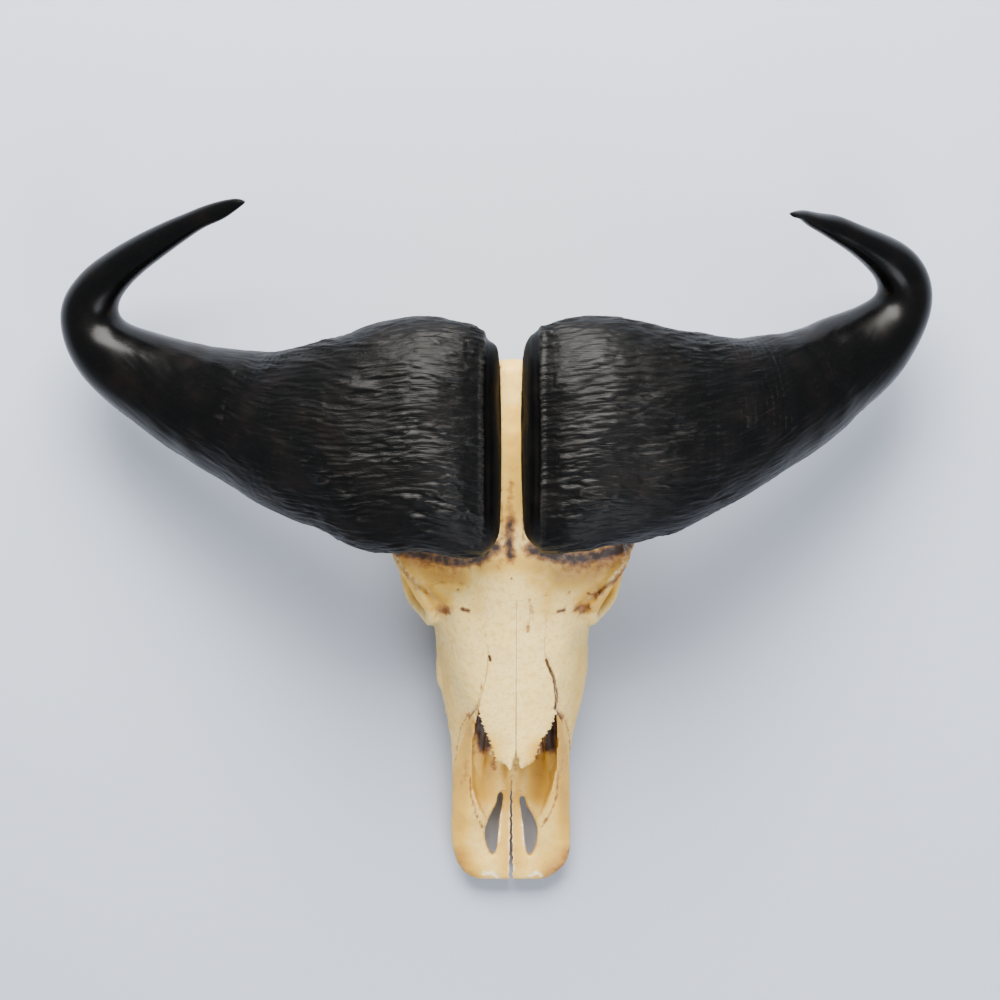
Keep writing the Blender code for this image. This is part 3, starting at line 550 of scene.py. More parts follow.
# Premaxillae: the suture with the upper jaw from the side, the bar beside the midline, the jaw's
# floor that reaches forward beside the fissure, and the gap between the two bones
muzzle = {
    "suture": ((86, -10), (88, 26), (106, 35), (130, 49), (160, 78), (180, 103), (193, 121)),
    "barX": 12.0, "barY": 98.0, "barTop": 34.0, "gapWander": 0.8,
    "floor": ((13, 92), (22, 74), (27, 62), (28.5, 54), (33, 68), (38, 86), (41.5, 106), (41.5, 130),
              (13, 130)),
    "floorTop": 44.0, "gap": ((2.0, -10), (1.8, 16), (1.1, 55), (0.7, 110)), "inset": 0.45,
}


def premaxillaRegion(name, side, inset):
    suture = [(p.x, p.y) for p in curvePoints([(y - inset, z + inset, 0) for y, z in muzzle["suture"]], 40)]
    outline = [*suture, (suture[-1][0], 260), (-20, 260), (-20, suture[0][1])]
    startX = side * (0.1 if inset else -0.1)
    region = prism(name, outline, startX, side * 90, "X")
    barX, barY, barTop = muzzle["barX"] - inset, muzzle["barY"] - inset, muzzle["barTop"] - inset
    bar = prism("palatineBar", [(80, -10), (barY, -10), (barY, barTop), (80, barTop)],
                startX, side * barX, "X")
    boolean(region, bar, "UNION")
    floor = prism("floorWedge", mirrored(muzzle["floor"], side), -20, muzzle["floorTop"], "Z")
    if inset:
        moveAlongNormals(floor, inset)
    boolean(region, floor, "DIFFERENCE")
    if not inset:                        # the jaw itself doesn't fill the gap along the midline
        return region
    edge = []
    for step in range(41):
        y = -10 + 3 * step
        wander = muzzle["gapWander"] * math.sin(y * 0.9) * math.sin(y * 0.37 + 1)
        edge.append((side * (valueAt([(y, x) for x, y in muzzle["gap"]], y) + inset * 0.5) + wander, y))
    gap = prism("muzzleGap", [*edge, (-side * 5, 110), (-side * 5, -10)], -30, 280, "Z")
    boolean(region, gap, "DIFFERENCE")
    return region


def joinedCutter(things):
    # one object from cutters that don't touch each other, so that a bone is cut once
    shape = bmesh.new()
    for thing in things:
        shape.from_mesh(thing.data)
        bpy.data.objects.remove(thing, do_unlink=True)
    mesh = bpy.data.meshes.new("cutter")
    shape.to_mesh(mesh)
    shape.free()
    made = bpy.data.objects.new("cutter", mesh)
    bpy.context.scene.collection.objects.link(made)
    return made


# Cheek teeth: two lobes on each molar, ribs on the cheek side, and a worn crown with enamel folds
crown = {
    "sides": 56, "facets": 12, "fold": 0.75, "enamel": 0.055, "rib": 0.05,
    "walls": ((35, 0.80), (30, 0.86), (24, 0.94), (16, 0.97), (8, 0.99), (2, 1.0), (0.6, 0.99)),
    "molarRibs": (-0.85, -0.42, 0.0, 0.42, 0.85), "premolarRibs": (-0.7, 0.0, 0.7),
    "molarLobes": (-0.48, 0.48), "premolarLobes": (0.0,),
}


def toothShape(name, side, length, width, x, y):
    # rings from the root down to the worn face, whose enamel stands out in crescents
    sides, molar = crown["sides"], length > 20
    ribPlaces = crown["molarRibs" if molar else "premolarRibs"]
    lobes = crown["molarLobes" if molar else "premolarLobes"]
    rings, plan = [], []
    for step in range(sides):
        turn = math.tau * step / sides
        along = math.copysign(abs(math.cos(turn)) ** 0.7, math.cos(turn))
        across = math.copysign(abs(math.sin(turn)) ** 0.7, math.sin(turn))
        waist = 1.0 - (0.13 * abs(across) ** 2 * math.exp(-(along / 0.16) ** 2) if molar else 0.0)
        cheek = max(0.0, across)
        ribs = sum(math.exp(-((along - spot) / 0.09) ** 2) for spot in ribPlaces)
        across *= waist * (1 - crown["rib"] + crown["rib"] * 2 * ribs * cheek)
        plan.append((min(1.0, abs(across)) * math.copysign(1, across), along))
    for z, size in crown["walls"]:
        rings.append([(side * x + side * across * width / 2 * size, y + along * length / 2 * size, z)
                      for across, along in plan])
    for step in range(1, crown["facets"] + 1):
        size = 0.97 * (1 - step / crown["facets"]) + 0.01
        ring = []
        for across, along in plan:
            a, b = across * size, along * size
            wall = math.exp(-((1 - size) / crown["enamel"] / 2) ** 2)
            folds = 0.0
            for lobe in lobes:
                reach = 0.30 if molar else 0.45
                spot = (b - lobe) / reach
                for bend in (-0.28, 0.30):
                    crescent = bend + 0.26 * spot * spot
                    folds = max(folds, math.exp(-((a - crescent) / 0.09) ** 2) * (abs(spot) < 1.25))
            ring.append((side * x + side * a * width / 2, y + b * length / 2,
                         crown["fold"] * (1 - max(wall, folds))))
        rings.append(ring)
    shape = bmesh.new()
    wrapGrid(shape, rings)
    return meshObject(name, shape)


def buildBones():
    pieces, seats, regions = {}, [], []
    shape = bmesh.new()
    shape.from_mesh(bone.data)
    forehead = BVHTree.FromBMesh(shape)
    shape.free()
    for side, word in ((1, "left"), (-1, "right")):
        roof = nasalBone(f"{word}NasalBone", side)
        seat = copyOf(roof, "nasalSeat")
        moveAlongNormals(seat, nasal["gap"])
        easeIntoForehead(roof, seat, forehead)
        seats.append(seat)
        places = skullPlaces(roof)
        height = sum(tall * lumps(places / size, seed) for size, tall, seed in boneGrain[1:])
        height *= 1 - ramp(places[:, 1], nasal["easeFrom"], nasal["easeFrom"] + nasal["easeRun"])
        eroded = np.exp(-(distanceToLine(places, boneStrokes["erodedSuture"][0]) / 2.4) ** 2)
        height -= eroded * (0.9 + 1.1 * lumps(places / 2.6, 21))
        moveAlongNormals(roof, height * 0.8)
        pieces[f"{word}_nasal_bone"] = roof
        y = toothRow["start"]
        for toothName, length, width, x in teeth:
            tooth = toothShape(f"{word}_{toothName}_tooth", side, length, width, x, y + length / 2)
            socket = copyOf(tooth, "socket")
            moveAlongNormals(socket, socketGap)
            seats.append(socket)
            pieces[f"{word}_{toothName}"] = tooth
            y += length + toothRow["space"]
        regions.append(premaxillaRegion("muzzleCut", side, 0.0))
    report("nasal bones and teeth made")
    for side, word in ((1, "left"), (-1, "right")):
        part = copyOf(bone, f"{word}Premaxilla")
        boolean(part, premaxillaRegion("muzzlePart", side, muzzle["inset"]), "INTERSECT")
        pieces[f"{word}_premaxilla"] = part
    for region in regions:
        boolean(bone, region, "DIFFERENCE")
    boolean(bone, joinedCutter(seats[:7]), "DIFFERENCE")
    boolean(bone, joinedCutter(seats[7:]), "DIFFERENCE")
    bone.name = "craniumBone"
    pieces["cranium"] = bone
    return pieces


pieces = buildBones()
report(f"bones cut apart, cranium has {len(bone.data.polygons)} faces")

# Horns: sections from the midline outwards, each cut across the horn: front edge (X, Y), rear edge
# (X, Y), middle Z, height above it and depth below it. X is taken away from the midline.
hornSections = {
    1: (
        ((10.5, 396), (10.5, 556), 234, 9, 14), ((13, 380), (13, 566), 238, 22, 26),
        ((20, 369), (20, 578), 242, 32, 42), ((34, 360), (34, 588), 243, 41, 54),
        ((58, 360), (56, 594), 243, 50, 62), ((90, 366), (90, 597), 240, 57, 66),
        ((121, 369), (121, 595), 234, 58, 64), ((151, 376), (150, 588), 224, 60, 62),
        ((175, 384), (173, 584), 210, 60, 58), ((206, 401), (206, 581), 192, 58, 54),
        ((249, 423), (238, 579), 172, 56, 50), ((295, 451), (269, 585), 152, 53, 47),
        ((332, 474), (297, 590), 136, 49, 44), ((364, 504), (327, 603), 121, 45, 42),
        ((393, 527), (354, 612), 112, 42, 39), ((419, 558), (372, 621), 107, 38, 36),
        ((436, 589), (381, 626), 106, 34, 33), ((445, 621), (386, 632), 111, 31, 30),
        ((441, 648), (384, 642), 119, 28, 28), ((424, 672), (375, 652), 132, 24, 25),
        ((400, 684), (361, 663), 147, 21, 22), ((372, 692), (341, 675), 164, 18, 18),
        ((342, 702), (320, 685), 182, 14.5, 14.5), ((315, 705), (302, 693), 201, 10.5, 10.5),
        ((299, 706), (292, 698), 216, 7, 7), ((287, 704), (284, 699), 229, 3.5, 3.5),
        ((281.5, 702), (280.5, 701), 235, 1, 1),
    ),
    -1: (
        ((12, 389), (12, 548), 234, 9, 14), ((15, 374), (15, 566), 238, 22, 26),
        ((24, 362), (24, 574), 242, 32, 42), ((38, 356), (38, 587), 243, 41, 54),
        ((61, 356), (60, 593), 243, 50, 62), ((94, 361), (91, 597), 240, 57, 66),
        ((122, 358), (121, 594), 234, 58, 64), ((158, 364), (158, 583), 224, 60, 62),
        ((180, 378), (180, 578), 210, 60, 58), ((217, 390), (213, 570), 192, 58, 54),
        ((259, 409), (242, 565), 172, 56, 50), ((306, 437), (280, 569), 152, 53, 47),
        ((348, 460), (314, 573), 136, 49, 44), ((388, 488), (347, 581), 121, 45, 42),
        ((424, 515), (377, 590), 112, 42, 39), ((455, 545), (401, 597), 107, 38, 36),
        ((471, 574), (413, 606), 106, 34, 33), ((477, 606), (415, 613), 111, 31, 30),
        ((471, 627), (411, 624), 119, 28, 28), ((451, 651), (400, 637), 132, 24, 25),
        ((427, 666), (384, 650), 147, 21, 22), ((396, 682), (361, 664), 164, 18, 18),
        ((365, 695), (338, 678), 182, 14.5, 14.5), ((332, 706), (314, 691), 201, 11, 11),
        ((306, 714), (292, 699), 216, 8.5, 8.5), ((283, 717), (273, 710), 229, 5, 5),
        ((271, 714.5), (269, 713), 235, 1, 1),
    ),
}
# The sheath's surface: rows and columns, then sizes in millimetres. Stations count the sections.
hornSkin = {
    "capRows": 9, "bossRows": 126, "shaftRows": 96, "columns": 410, "bossStations": 10.5,
    "undersideShare": 0.42, "bossBlend": 11.0,
    "barkDepth": 1.6, "barkSpacing": 3.8, "barkLength": 17.0, "fineDepth": 0.6, "fineSpacing": 2.2,
    "flakeHeight": 1.1, "lumpHeight": 1.7, "lumpSize": 24.0, "roughFrom": 7.0, "roughTo": 12.5,
    "rimPlace": 30.0, "rimWidth": 2.6, "rimHeight": 1.6, "ringSpacing": 8.0, "ringHeight": 0.6,
    "seatGap": 0.4, "easing": 13.0, "heightEasing": 34.0, "turnEasing": 7.0, "keptStart": 60.0,
    "keptTip": 60.0, "curveCount": 1041, "evenCount": 1601,
    "wander": ((3.0, 60, 34, 1), (0.9, 20, 14, 2)),         # height, sizes along and around, seed
    "flakeSize": (26, 5.5), "flakeSteps": 1.9, "patchSize": (26, 20), "innerHeight": 0.5,
    "ringStations": (7.0, 10.0, 12.0, 14.0), "rippleStations": (7.5, 10.5, 12.6, 15.0),
    "rippleHeight": 0.35, "capBulge": 1.6,
}


def smoothed(values, step, width):
    # an even row of values, blurred by a bell curve of the width given, with its ends in place
    reach = int(2.5 * width / step)
    bell = np.exp(-0.5 * (np.arange(-reach, reach + 1) * step / width) ** 2)
    padded = np.pad(values, reach, "reflect", reflect_type="odd")
    return np.convolve(padded, bell / bell.sum(), "valid")


def hornRows(side):
    # every row's middle, directions and sizes, read from a smooth curve through the sections
    skin = hornSkin
    knots = [(side * f[0], f[1], side * r[0], r[1], z, above, below)
             for f, r, z, above, below in hornSections[side]]
    last = len(knots) - 1
    curve = np.array([tuple(point) for point in curvePoints(knots, skin["curveCount"])])
    centres = np.column_stack(((curve[:, 0:2] + curve[:, 2:4]) / 2, curve[:, 4]))
    reach = np.concatenate(((0,), np.cumsum(np.linalg.norm(np.diff(centres, axis=0), axis=1))))
    even = np.linspace(0, reach[-1], skin["evenCount"])
    table = np.stack([np.interp(even, reach, column) for column in curve.T], axis=1)
    eased = np.stack([smoothed(column, even[1], skin["heightEasing" if place == 4 else "easing"])
                      for place, column in enumerate(table.T)], axis=1)
    share = ramp(even, skin["keptStart"], 2 * skin["keptStart"])
    share *= 1 - ramp(even, reach[-1] - 2 * skin["keptTip"], reach[-1] - skin["keptTip"])
    table += (eased - table) * share[:, None]
    stations = np.concatenate((
        np.linspace(0, skin["bossStations"], skin["bossRows"], endpoint=False),
        np.linspace(skin["bossStations"], last, skin["shaftRows"])))
    places = np.interp(stations, np.linspace(0, last, skin["curveCount"]), reach)
    table = np.stack([np.interp(places, even, column) for column in table.T], axis=1)
    middle = np.stack(((table[:, 0] + table[:, 2]) / 2, (table[:, 1] + table[:, 3]) / 2, table[:, 4]), 1)
    across = np.stack((table[:, 2] - table[:, 0], table[:, 3] - table[:, 1], 0 * table[:, 0]), axis=1)
    half = np.linalg.norm(across, axis=1) / 2
    across /= 2 * half[:, None]
    ahead = np.gradient(middle, axis=0)
    upwards = np.cross(ahead, across)
    upwards /= np.linalg.norm(upwards, axis=1)[:, None]
    upwards *= np.where(upwards[:, 2] < 0, -1, 1)[:, None]
    tilt = np.clip((stations - 3) / 7, 0, 1)[:, None]
    upwards = upwards * tilt + np.array((0, 0, 1)) * (1 - tilt)
    upwards = np.stack([smoothed(column, 1, skin["turnEasing"]) for column in upwards.T], axis=1)
    upwards /= np.linalg.norm(upwards, axis=1)[:, None]
    return stations, middle, across, upwards, half, table[:, 5], table[:, 6]


def hornSheath(name, side):
    # a skin over the rows, raised into bark, flakes, a rim beside the strip, and growth rings
    skin = hornSkin
    stations, middle, across, upwards, half, above, below = hornRows(side)
    boss = np.clip(1 - stations / skin["bossBlend"], 0, None)
    power = 2 / (2 + 1.1 * boss)
    turns = np.linspace(-math.pi / 2, 1.5 * math.pi, skin["evenCount"])
    columns, rows = skin["columns"], len(stations)
    wide, tall = np.empty((rows, columns)), np.empty((rows, columns))
    around = np.empty((rows, columns))
    for row in range(rows):
        x = half[row] * np.sign(np.cos(turns)) * np.abs(np.cos(turns)) ** power[row]
        z = np.sign(np.sin(turns)) * np.abs(np.sin(turns)) ** power[row]
        z = z * np.where(z > 0, above[row], below[row])
        run = np.hypot(np.diff(x), np.diff(z))
        dense = run * np.where(np.sin(turns[1:]) < -0.12, skin["undersideShare"], 1.0)
        reach = np.concatenate(((0,), np.cumsum(dense)))
        length = np.concatenate(((0,), np.cumsum(run)))
        wanted = np.linspace(0, reach[-1], columns, endpoint=False)
        wide[row], tall[row] = np.interp(wanted, reach, x), np.interp(wanted, reach, z)
        around[row] = np.interp(wanted, reach, length) - length[-1] / 2
    surface = (middle[:, None] + across[:, None] * wide[..., None] + upwards[:, None] * tall[..., None])

    along = np.concatenate(((0,), np.cumsum(np.linalg.norm(np.diff(middle, axis=0), axis=1))))
    along = np.repeat(along[:, None], columns, axis=1)
    station = np.repeat(stations[:, None], columns, axis=1)
    away = np.abs(surface[..., 0])

    def pattern(alongSize, aroundSize, seed, shift=0.0):
        spots = np.stack((along / alongSize, (around + shift) / aroundSize, 0 * along + 0.37), axis=-1)
        return lumps(spots.reshape(-1, 3), seed + (40 if side < 0 else 0)).reshape(rows, columns)

    wander = sum(tall * pattern(long, wide, seed) for tall, long, wide, seed in skin["wander"])
    rough = 1 - ramp(station + 1.2 * pattern(40, 24, 3), skin["roughFrom"], skin["roughTo"])
    grooved = rough * ramp(away, skin["rimPlace"] - 6, skin["rimPlace"] + 3)
    bark = pattern(skin["barkLength"], skin["barkSpacing"], 4, wander)
    fine = pattern(skin["barkLength"] / 2, skin["fineSpacing"], 5, wander)
    flakes = (skin["flakeSteps"] * pattern(*skin["flakeSize"], 6, wander)) % 1.0
    broken = 0.35 + 0.65 * ramp(pattern(*skin["patchSize"], 13), -0.3, 0.35)
    height = skin["barkDepth"] * bark * grooved * broken + skin["fineDepth"] * fine * grooved
    height += skin["flakeHeight"] * flakes * grooved * broken
    height += skin["lumpHeight"] * (pattern(skin["lumpSize"], skin["lumpSize"], 7) * (0.25 + 0.75 * rough))
    height += skin["rimHeight"] * np.exp(-((away - skin["rimPlace"]) / skin["rimWidth"]) ** 2) * rough
    medial = rough * (1 - ramp(away, skin["rimPlace"] - 8, skin["rimPlace"]))
    spots = np.stack((away / 3.2, surface[..., 1] / 60, 0 * away), axis=-1)
    height += skin["innerHeight"] * medial * lumps(spots.reshape(-1, 3), 8).reshape(rows, columns)
    ringed = hump(station, *skin["ringStations"])
    rings = np.sin(math.tau * (along + 4 * pattern(60, 40, 9)) / skin["ringSpacing"])
    height += skin["ringHeight"] * rings * ringed * np.clip(pattern(30, 26, 10) + 0.4, 0, 1)
    ripple = pattern(14, 3.6, 12, along * 0.35)
    height += skin["rippleHeight"] * ripple * hump(station, *skin["rippleStations"])
    height *= 1 - 0.75 * (np.sin(np.pi * np.arange(columns) / columns) < 0.05)

    aheadWay = np.gradient(surface, axis=0)
    aroundWay = np.roll(surface, -1, 1) - np.roll(surface, 1, 1)
    normal = np.cross(aroundWay, aheadWay) * side
    normal /= np.linalg.norm(normal, axis=2)[..., None] + 1e-9
    outward = np.sum((surface - middle[:, None]) * normal, axis=2)
    normal *= np.where(outward.mean() < 0, -1, 1)
    surface = surface + normal * height[..., None]

    cap = []
    for step in range(skin["capRows"]):
        share = (step / skin["capRows"]) ** 0.8
        row = surface[0].mean(axis=0) + (surface[0] - surface[0].mean(axis=0)) * share
        row[:, 0] -= side * skin["capBulge"] * (1 - share ** 2)
        cap.append(row)
    tip = surface[-1].mean(axis=0) + (surface[-1].mean(axis=0) - surface[-4].mean(axis=0)) * 0.15
    rings = [*cap, *surface, np.repeat(tip[None], columns, axis=0)]
    shape = bmesh.new()
    wrapGrid(shape, [[tuple(point) for point in ring] for ring in rings])
    return meshObject(name, shape)


def seatOnBone(sheath, seat):
    # what would lie inside the forehead is laid on it, with a thin gap
    shape = bmesh.new()
    shape.from_mesh(seat.data)
    tree = BVHTree.FromBMesh(shape)
    shape.free()
    for vert in sheath.data.vertices:
        spot, normal, _, away = tree.find_nearest(vert.co, 0.12)
        if spot is not None and (vert.co - spot).dot(normal) < hornSkin["seatGap"] * mm:
            vert.co = spot + normal * hornSkin["seatGap"] * mm
    sheath.data.update()


def keepInBox(thing):
    # nothing stands out of the box that the solids give
    low, high = (np.array(corner) for corner in cadBox)
    places = np.empty(len(thing.data.vertices) * 3)
    thing.data.vertices.foreach_get("co", places)
    thing.data.vertices.foreach_set("co", np.clip(places.reshape(-1, 3), low, high).ravel())
    thing.data.update()


seat = copyOf(bone, "boneSeat")
for side, word in ((1, "left"), (-1, "right")):
    sheath = hornSheath(f"{word}HornSheath", side)
    seatOnBone(sheath, seat)
    pieces[f"{word}_horn"] = sheath
    report(f"{word} horn made, {len(sheath.data.polygons)} faces")
bpy.data.objects.remove(seat, do_unlink=True)
for piece in pieces.values():
    keepInBox(piece)


# Colour marks on the bones, stains together with painted shade and painted highlights: points, half width and
# strength for each stroke. A stroke of (X, Y) points is laid on whatever faces up below it, one of (X, Y, Z)
# points spreads from its own line.
stains = {
    "brownStainAndShade": (
        # painted shadow under the front edges of the bosses, then darker brown down the middle of the strip and
        # along the bosses' inner edges
        (((-117, 361), (-102, 358), (-84, 354), (-58, 349), (-35, 352), (-16, 364)), 8.0, 1.1),
        (((19, 363), (41, 356), (65, 352), (91, 355), (120, 366)), 9.0, 1.1),
        (((-116, 358), (-98, 351), (-80, 346), (-60, 344)), 10, 0.5),
        (((60, 346), (88, 348), (118, 358)), 12, 0.55),
        (((-1, 392), (-3, 367), (-1, 354)), 6.5, 1.05), (((-1, 430), (-2, 392)), 4, 0.6),
        (((-10, 372), (-8, 354), (-14, 344)), 5, 0.4), (((8, 366), (14, 354)), 4, 0.4),
        (((-11, 372), (-11, 400), (-12.5, 470), (-12, 548)), 1.8, 0.75),
        (((12, 372), (11.5, 400), (12, 470), (12, 548)), 1.5, 0.6),
        # tear pits, slits, pores and cracks of the brow; the tear pits are darkened by stain and by painted
        # shade
        (((-73, 298), (-67, 298)), 6.5, 0.75), (((70, 300), (78, 299)), 7.0, 0.85),
        (((-51, 300), (-45, 298)), 2.4, 1.2), (((48, 297), (55, 299)), 2.2, 1.0),
        (((-117, 348), (-108, 335), (-97, 323), (-84, 314)), 3.6, 0.6),
        (((118, 343), (109, 331), (95, 321), (86, 312)), 4.0, 0.7),
        (((0, 332), (0.5, 332)), 1.1, 1.0), (((-56, 320), (-55.6, 320)), 1.4, 1.0),
        (((60, 317), (60.4, 317)), 1.4, 1.0),
        (((35, 314), (35.4, 314)), 1.2, 0.9), (((13, 320), (13.3, 320)), 1.0, 0.8),
        (((-7, 313), (-7, 313.3)), 0.9, 0.7),
        (((79, 316), (86, 314), (93, 320), (101, 326)), 1.7, 0.9),
        (((-84, 324), (-74, 327), (-57, 328), (-45, 324)), 2.0, 0.4),
        (((19, 309), (20, 297), (18, 287), (17, 276)), 2.4, 0.5), (((22, 300), (22, 290)), 1.6, 0.45),
        (((37, 298), (35, 267), (36, 249)), 1.5, 0.35), (((-33, 298), (-27, 272), (-23, 250)), 1.5, 0.28),
        # open sutures beside the nasal bones and along the muzzle
        (((36, 246), (39, 238), (44, 227), (47, 209), (46, 194)), 1.9, 1.2),
        (((-23, 250), (-22, 246)), 1.9, 1.3), (((-30, 225), (-34, 205), (-36, 195)), 1.3, 0.55),
        (((-45, 188), (-54, 170), (-57, 153), (-60, 133)), 1.1, 0.6),
        (((55, 183), (61, 167), (63, 153), (64, 133)), 1.1, 0.6),
        (((-44, 118), (-43, 96), (-37, 74), (-31, 60)), 1.6, 0.7),
        (((50, 118), (49, 96), (42, 76), (33, 60)), 1.6, 0.65),
        (((-50, 134), (-47, 122), (-52, 110)), 5, 0.35), (((54, 132), (52, 118)), 5, 0.35),
        # muzzle tip, and the nape and base of the skull
        (((66, 30), (60, 14), (50, 5)), 9, 0.6), (((-60, 20), (-48, 6)), 7, 0.3),
        (((-40, 562, 190), (40, 562, 190)), 22, 0.45), (((0, 380, 74), (0, 540, 68)), 20, 0.45),
        (((-70, 556, 120), (-30, 560, 108), (30, 560, 108), (70, 556, 120)), 12, 0.4),
    ),
    "ochre": (
        (((-60, 12), (-44, 4), (-56, 28)), 14, 0.8), (((60, 12), (42, 4), (60, 30)), 15, 0.95),
        (((-58, 50), (-56, 90), (-50, 130), (-44, 176)), 13, 0.55),
        (((58, 50), (58, 90), (56, 130), (50, 176)), 13, 0.65),
        (((0, 20), (0, 90)), 16, 0.5),
        (((0, 392), (0, 450), (0, 500)), 13, 0.7), (((0, 500), (0, 552)), 14, 0.35),
        (((-30, 345), (0, 350), (30, 343)), 12, 0.7),
        (((-108, 350), (-80, 336), (-56, 334)), 15, 1.0), (((108, 352), (78, 336), (50, 336)), 17, 1.0),
        (((-86, 320), (-72, 306)), 12, 0.75), (((88, 322), (76, 308)), 12, 0.85),
        (((-112, 330), (-98, 312), (-84, 302)), 8, 0.6), (((114, 334), (102, 314), (88, 303)), 8, 0.8),
        (((24, 330), (38, 318), (36, 300)), 10, 0.45), (((-34, 320), (-36, 300)), 8, 0.3),
        (((-27, 150), (-26, 120), (-26, 96)), 14, 0.9), (((30, 150), (30, 120), (28, 96)), 14, 1.0),
        (((-72, 250), (-66, 200), (-60, 170)), 8, 0.3), (((76, 250), (70, 200), (66, 170)), 8, 0.35),
        (((-72, 260, 60), (-70, 200, 45)), 12, 0.5), (((74, 260, 60), (72, 200, 45)), 12, 0.5),
        (((-40, 560, 190), (40, 560, 190)), 24, 0.7), (((0, 380, 74), (0, 540, 68)), 30, 0.8),
        (((-60, 440, 90), (-110, 400, 92)), 14, 0.6), (((60, 440, 90), (110, 400, 92)), 14, 0.6),
        (((0, 60, 14), (0, 300, 30)), 34, 0.45),
    ),
    # painted shade inside the nasal opening, beside and under the nasal bones, laid on the cranium only
    "noseOpeningShade": (
        (((-36, 184), (-33, 168), (-29, 148)), 9, 1.3), (((46, 182), (43, 166), (40, 148)), 9, 1.35),
        (((-19, 152), (-16, 136), (-19, 122)), 4, 0.7), (((26, 150), (27, 134)), 4, 0.6),
        (((-40, 150), (-44, 124)), 3, 0.5), (((50, 146), (49, 120)), 3.5, 0.7),
        (((4, 150), (4, 124)), 7, 0.4),
    ),
    "chalkAndHighlight": (
        # painted highlights along the brow margins
        (((-120, 364), (-118, 351), (-110, 339), (-99, 327)), 4.0, 0.5),
        (((121, 362), (116, 346), (103, 330)), 4.0, 0.5),
        # painted highlights along the jagged outer edges of the nasal bones
        (((-42, 196), (-37, 180), (-31, 165), (-26, 152), (-22, 138)), 1.4, 0.7),
        (((50, 192), (45, 180), (40, 168), (34, 152), (30, 138)), 1.4, 0.8),
        # chalk-white chips and bleached edges
        (((-30, 8), (-21, 9), (-15, 4)), 3.6, 0.75), (((20, 5), (27, 9), (33, 5)), 3.2, 0.75),
        (((80, 312), (88, 311), (90, 316)), 3.0, 0.5), (((44, 186), (41, 180)), 2.0, 0.5),
        (((-13.5, 40), (-12, 60), (-10, 88)), 1.6, 0.8), (((14, 40), (12.5, 60), (10.5, 84)), 1.6, 0.8),
    ),
}


def setAttribute(thing, name, values):
    made = thing.data.attributes.new(name, "FLOAT", "POINT")
    made.data.foreach_set("value", np.asarray(values, np.float32))


def hollowness(thing, steps):
    # how deep each vertex lies between its neighbours, in tenths of a millimetre, spread by steps
    mesh = thing.data
    count = len(mesh.vertices)
    ends = np.empty(len(mesh.edges) * 2, np.int32)
    mesh.edges.foreach_get("vertices", ends)
    first, second = ends.reshape(-1, 2).T
    degree = np.maximum(np.bincount(first, minlength=count) + np.bincount(second, minlength=count), 1)
    places, normals = np.empty(count * 3), np.empty(count * 3, np.float32)
    mesh.vertices.foreach_get("co", places)
    mesh.vertex_normals.foreach_get("vector", normals)
    places, smooth = places.reshape(-1, 3), places.reshape(-1, 3).copy()
    for _ in range(steps):
        total = np.stack([np.bincount(first, smooth[second, axis], count)
                          + np.bincount(second, smooth[first, axis], count) for axis in range(3)], axis=1)
        smooth = total / degree[:, None]
    return np.sum((smooth - places) * normals.reshape(-1, 3), axis=1) / mm * 10


def markBone(thing):
    # how strongly each vertex takes stains, painted shade and painted highlights, and how hollow it lies
    places = skullPlaces(thing)
    normals = np.empty(len(places) * 3, np.float32)
    thing.data.vertex_normals.foreach_get("vector", normals)
    facing = ramp(normals[2::3], -0.15, 0.25)
    # painted shade inside the nose goes on the cranium only
    takesNoseShade = "cranium" in thing.name
    for channel in ("brownStainAndShade", "ochre", "chalkAndHighlight"):
        strokes = stains[channel] + (stains["noseOpeningShade"] if channel == "brownStainAndShade" and takesNoseShade else ())
        mark = np.zeros(len(places))
        for points, width, strength in strokes:
            plan = len(points[0]) == 2
            away = distanceToLine(places[:, :2] if plan else places, points)
            shade = strength * np.exp(-(away / width) ** 2)
            mark = np.maximum(mark, shade * facing if plan else shade)
        setAttribute(thing, channel, mark)
    setAttribute(thing, "hollow", hollowness(thing, 6))
    setAttribute(thing, "deep", hollowness(thing, 40))


def markHorn(thing, side):
    places = skullPlaces(thing)
    away = side * places[:, 0]
    setAttribute(thing, "shaft", ramp(away, 215, 330) - ramp(away, 21, 13))     # below 0 beside the strip
    setAttribute(thing, "hollow", hollowness(thing, 5))


for name, piece in pieces.items():
    if "horn" in name:
        markHorn(piece, 1 if "left" in name else -1)
    else:
        markBone(piece)
report("colour marks set")


# Materials

def linear(code):
    parts = [int(code[place:place + 2], 16) / 255 for place in (1, 3, 5)]
    return (*[part / 12.92 if part <= 0.04045 else ((part + 0.055) / 1.055) ** 2.4 for part in parts], 1.0)


def addNode(tree, kind, inputs, output=0, **settings):
    # one node with its settings and its values or links; its output feeds the next one
    made = tree.nodes.new(kind)
    for name, value in settings.items():
        setattr(made, name, value)
    for key, value in inputs.items():
        if isinstance(value, bpy.types.NodeSocket):
            tree.links.new(value, made.inputs[key])
        else:
            made.inputs[key].default_value = value
    return made.outputs[output]


def newMaterial(name):
    made = bpy.data.materials.new(name)
    made.use_nodes = True
    tree = made.node_tree
    return made, tree, tree.nodes["Principled BSDF"], addNode(tree, "ShaderNodeTexCoord", {}, "Object")


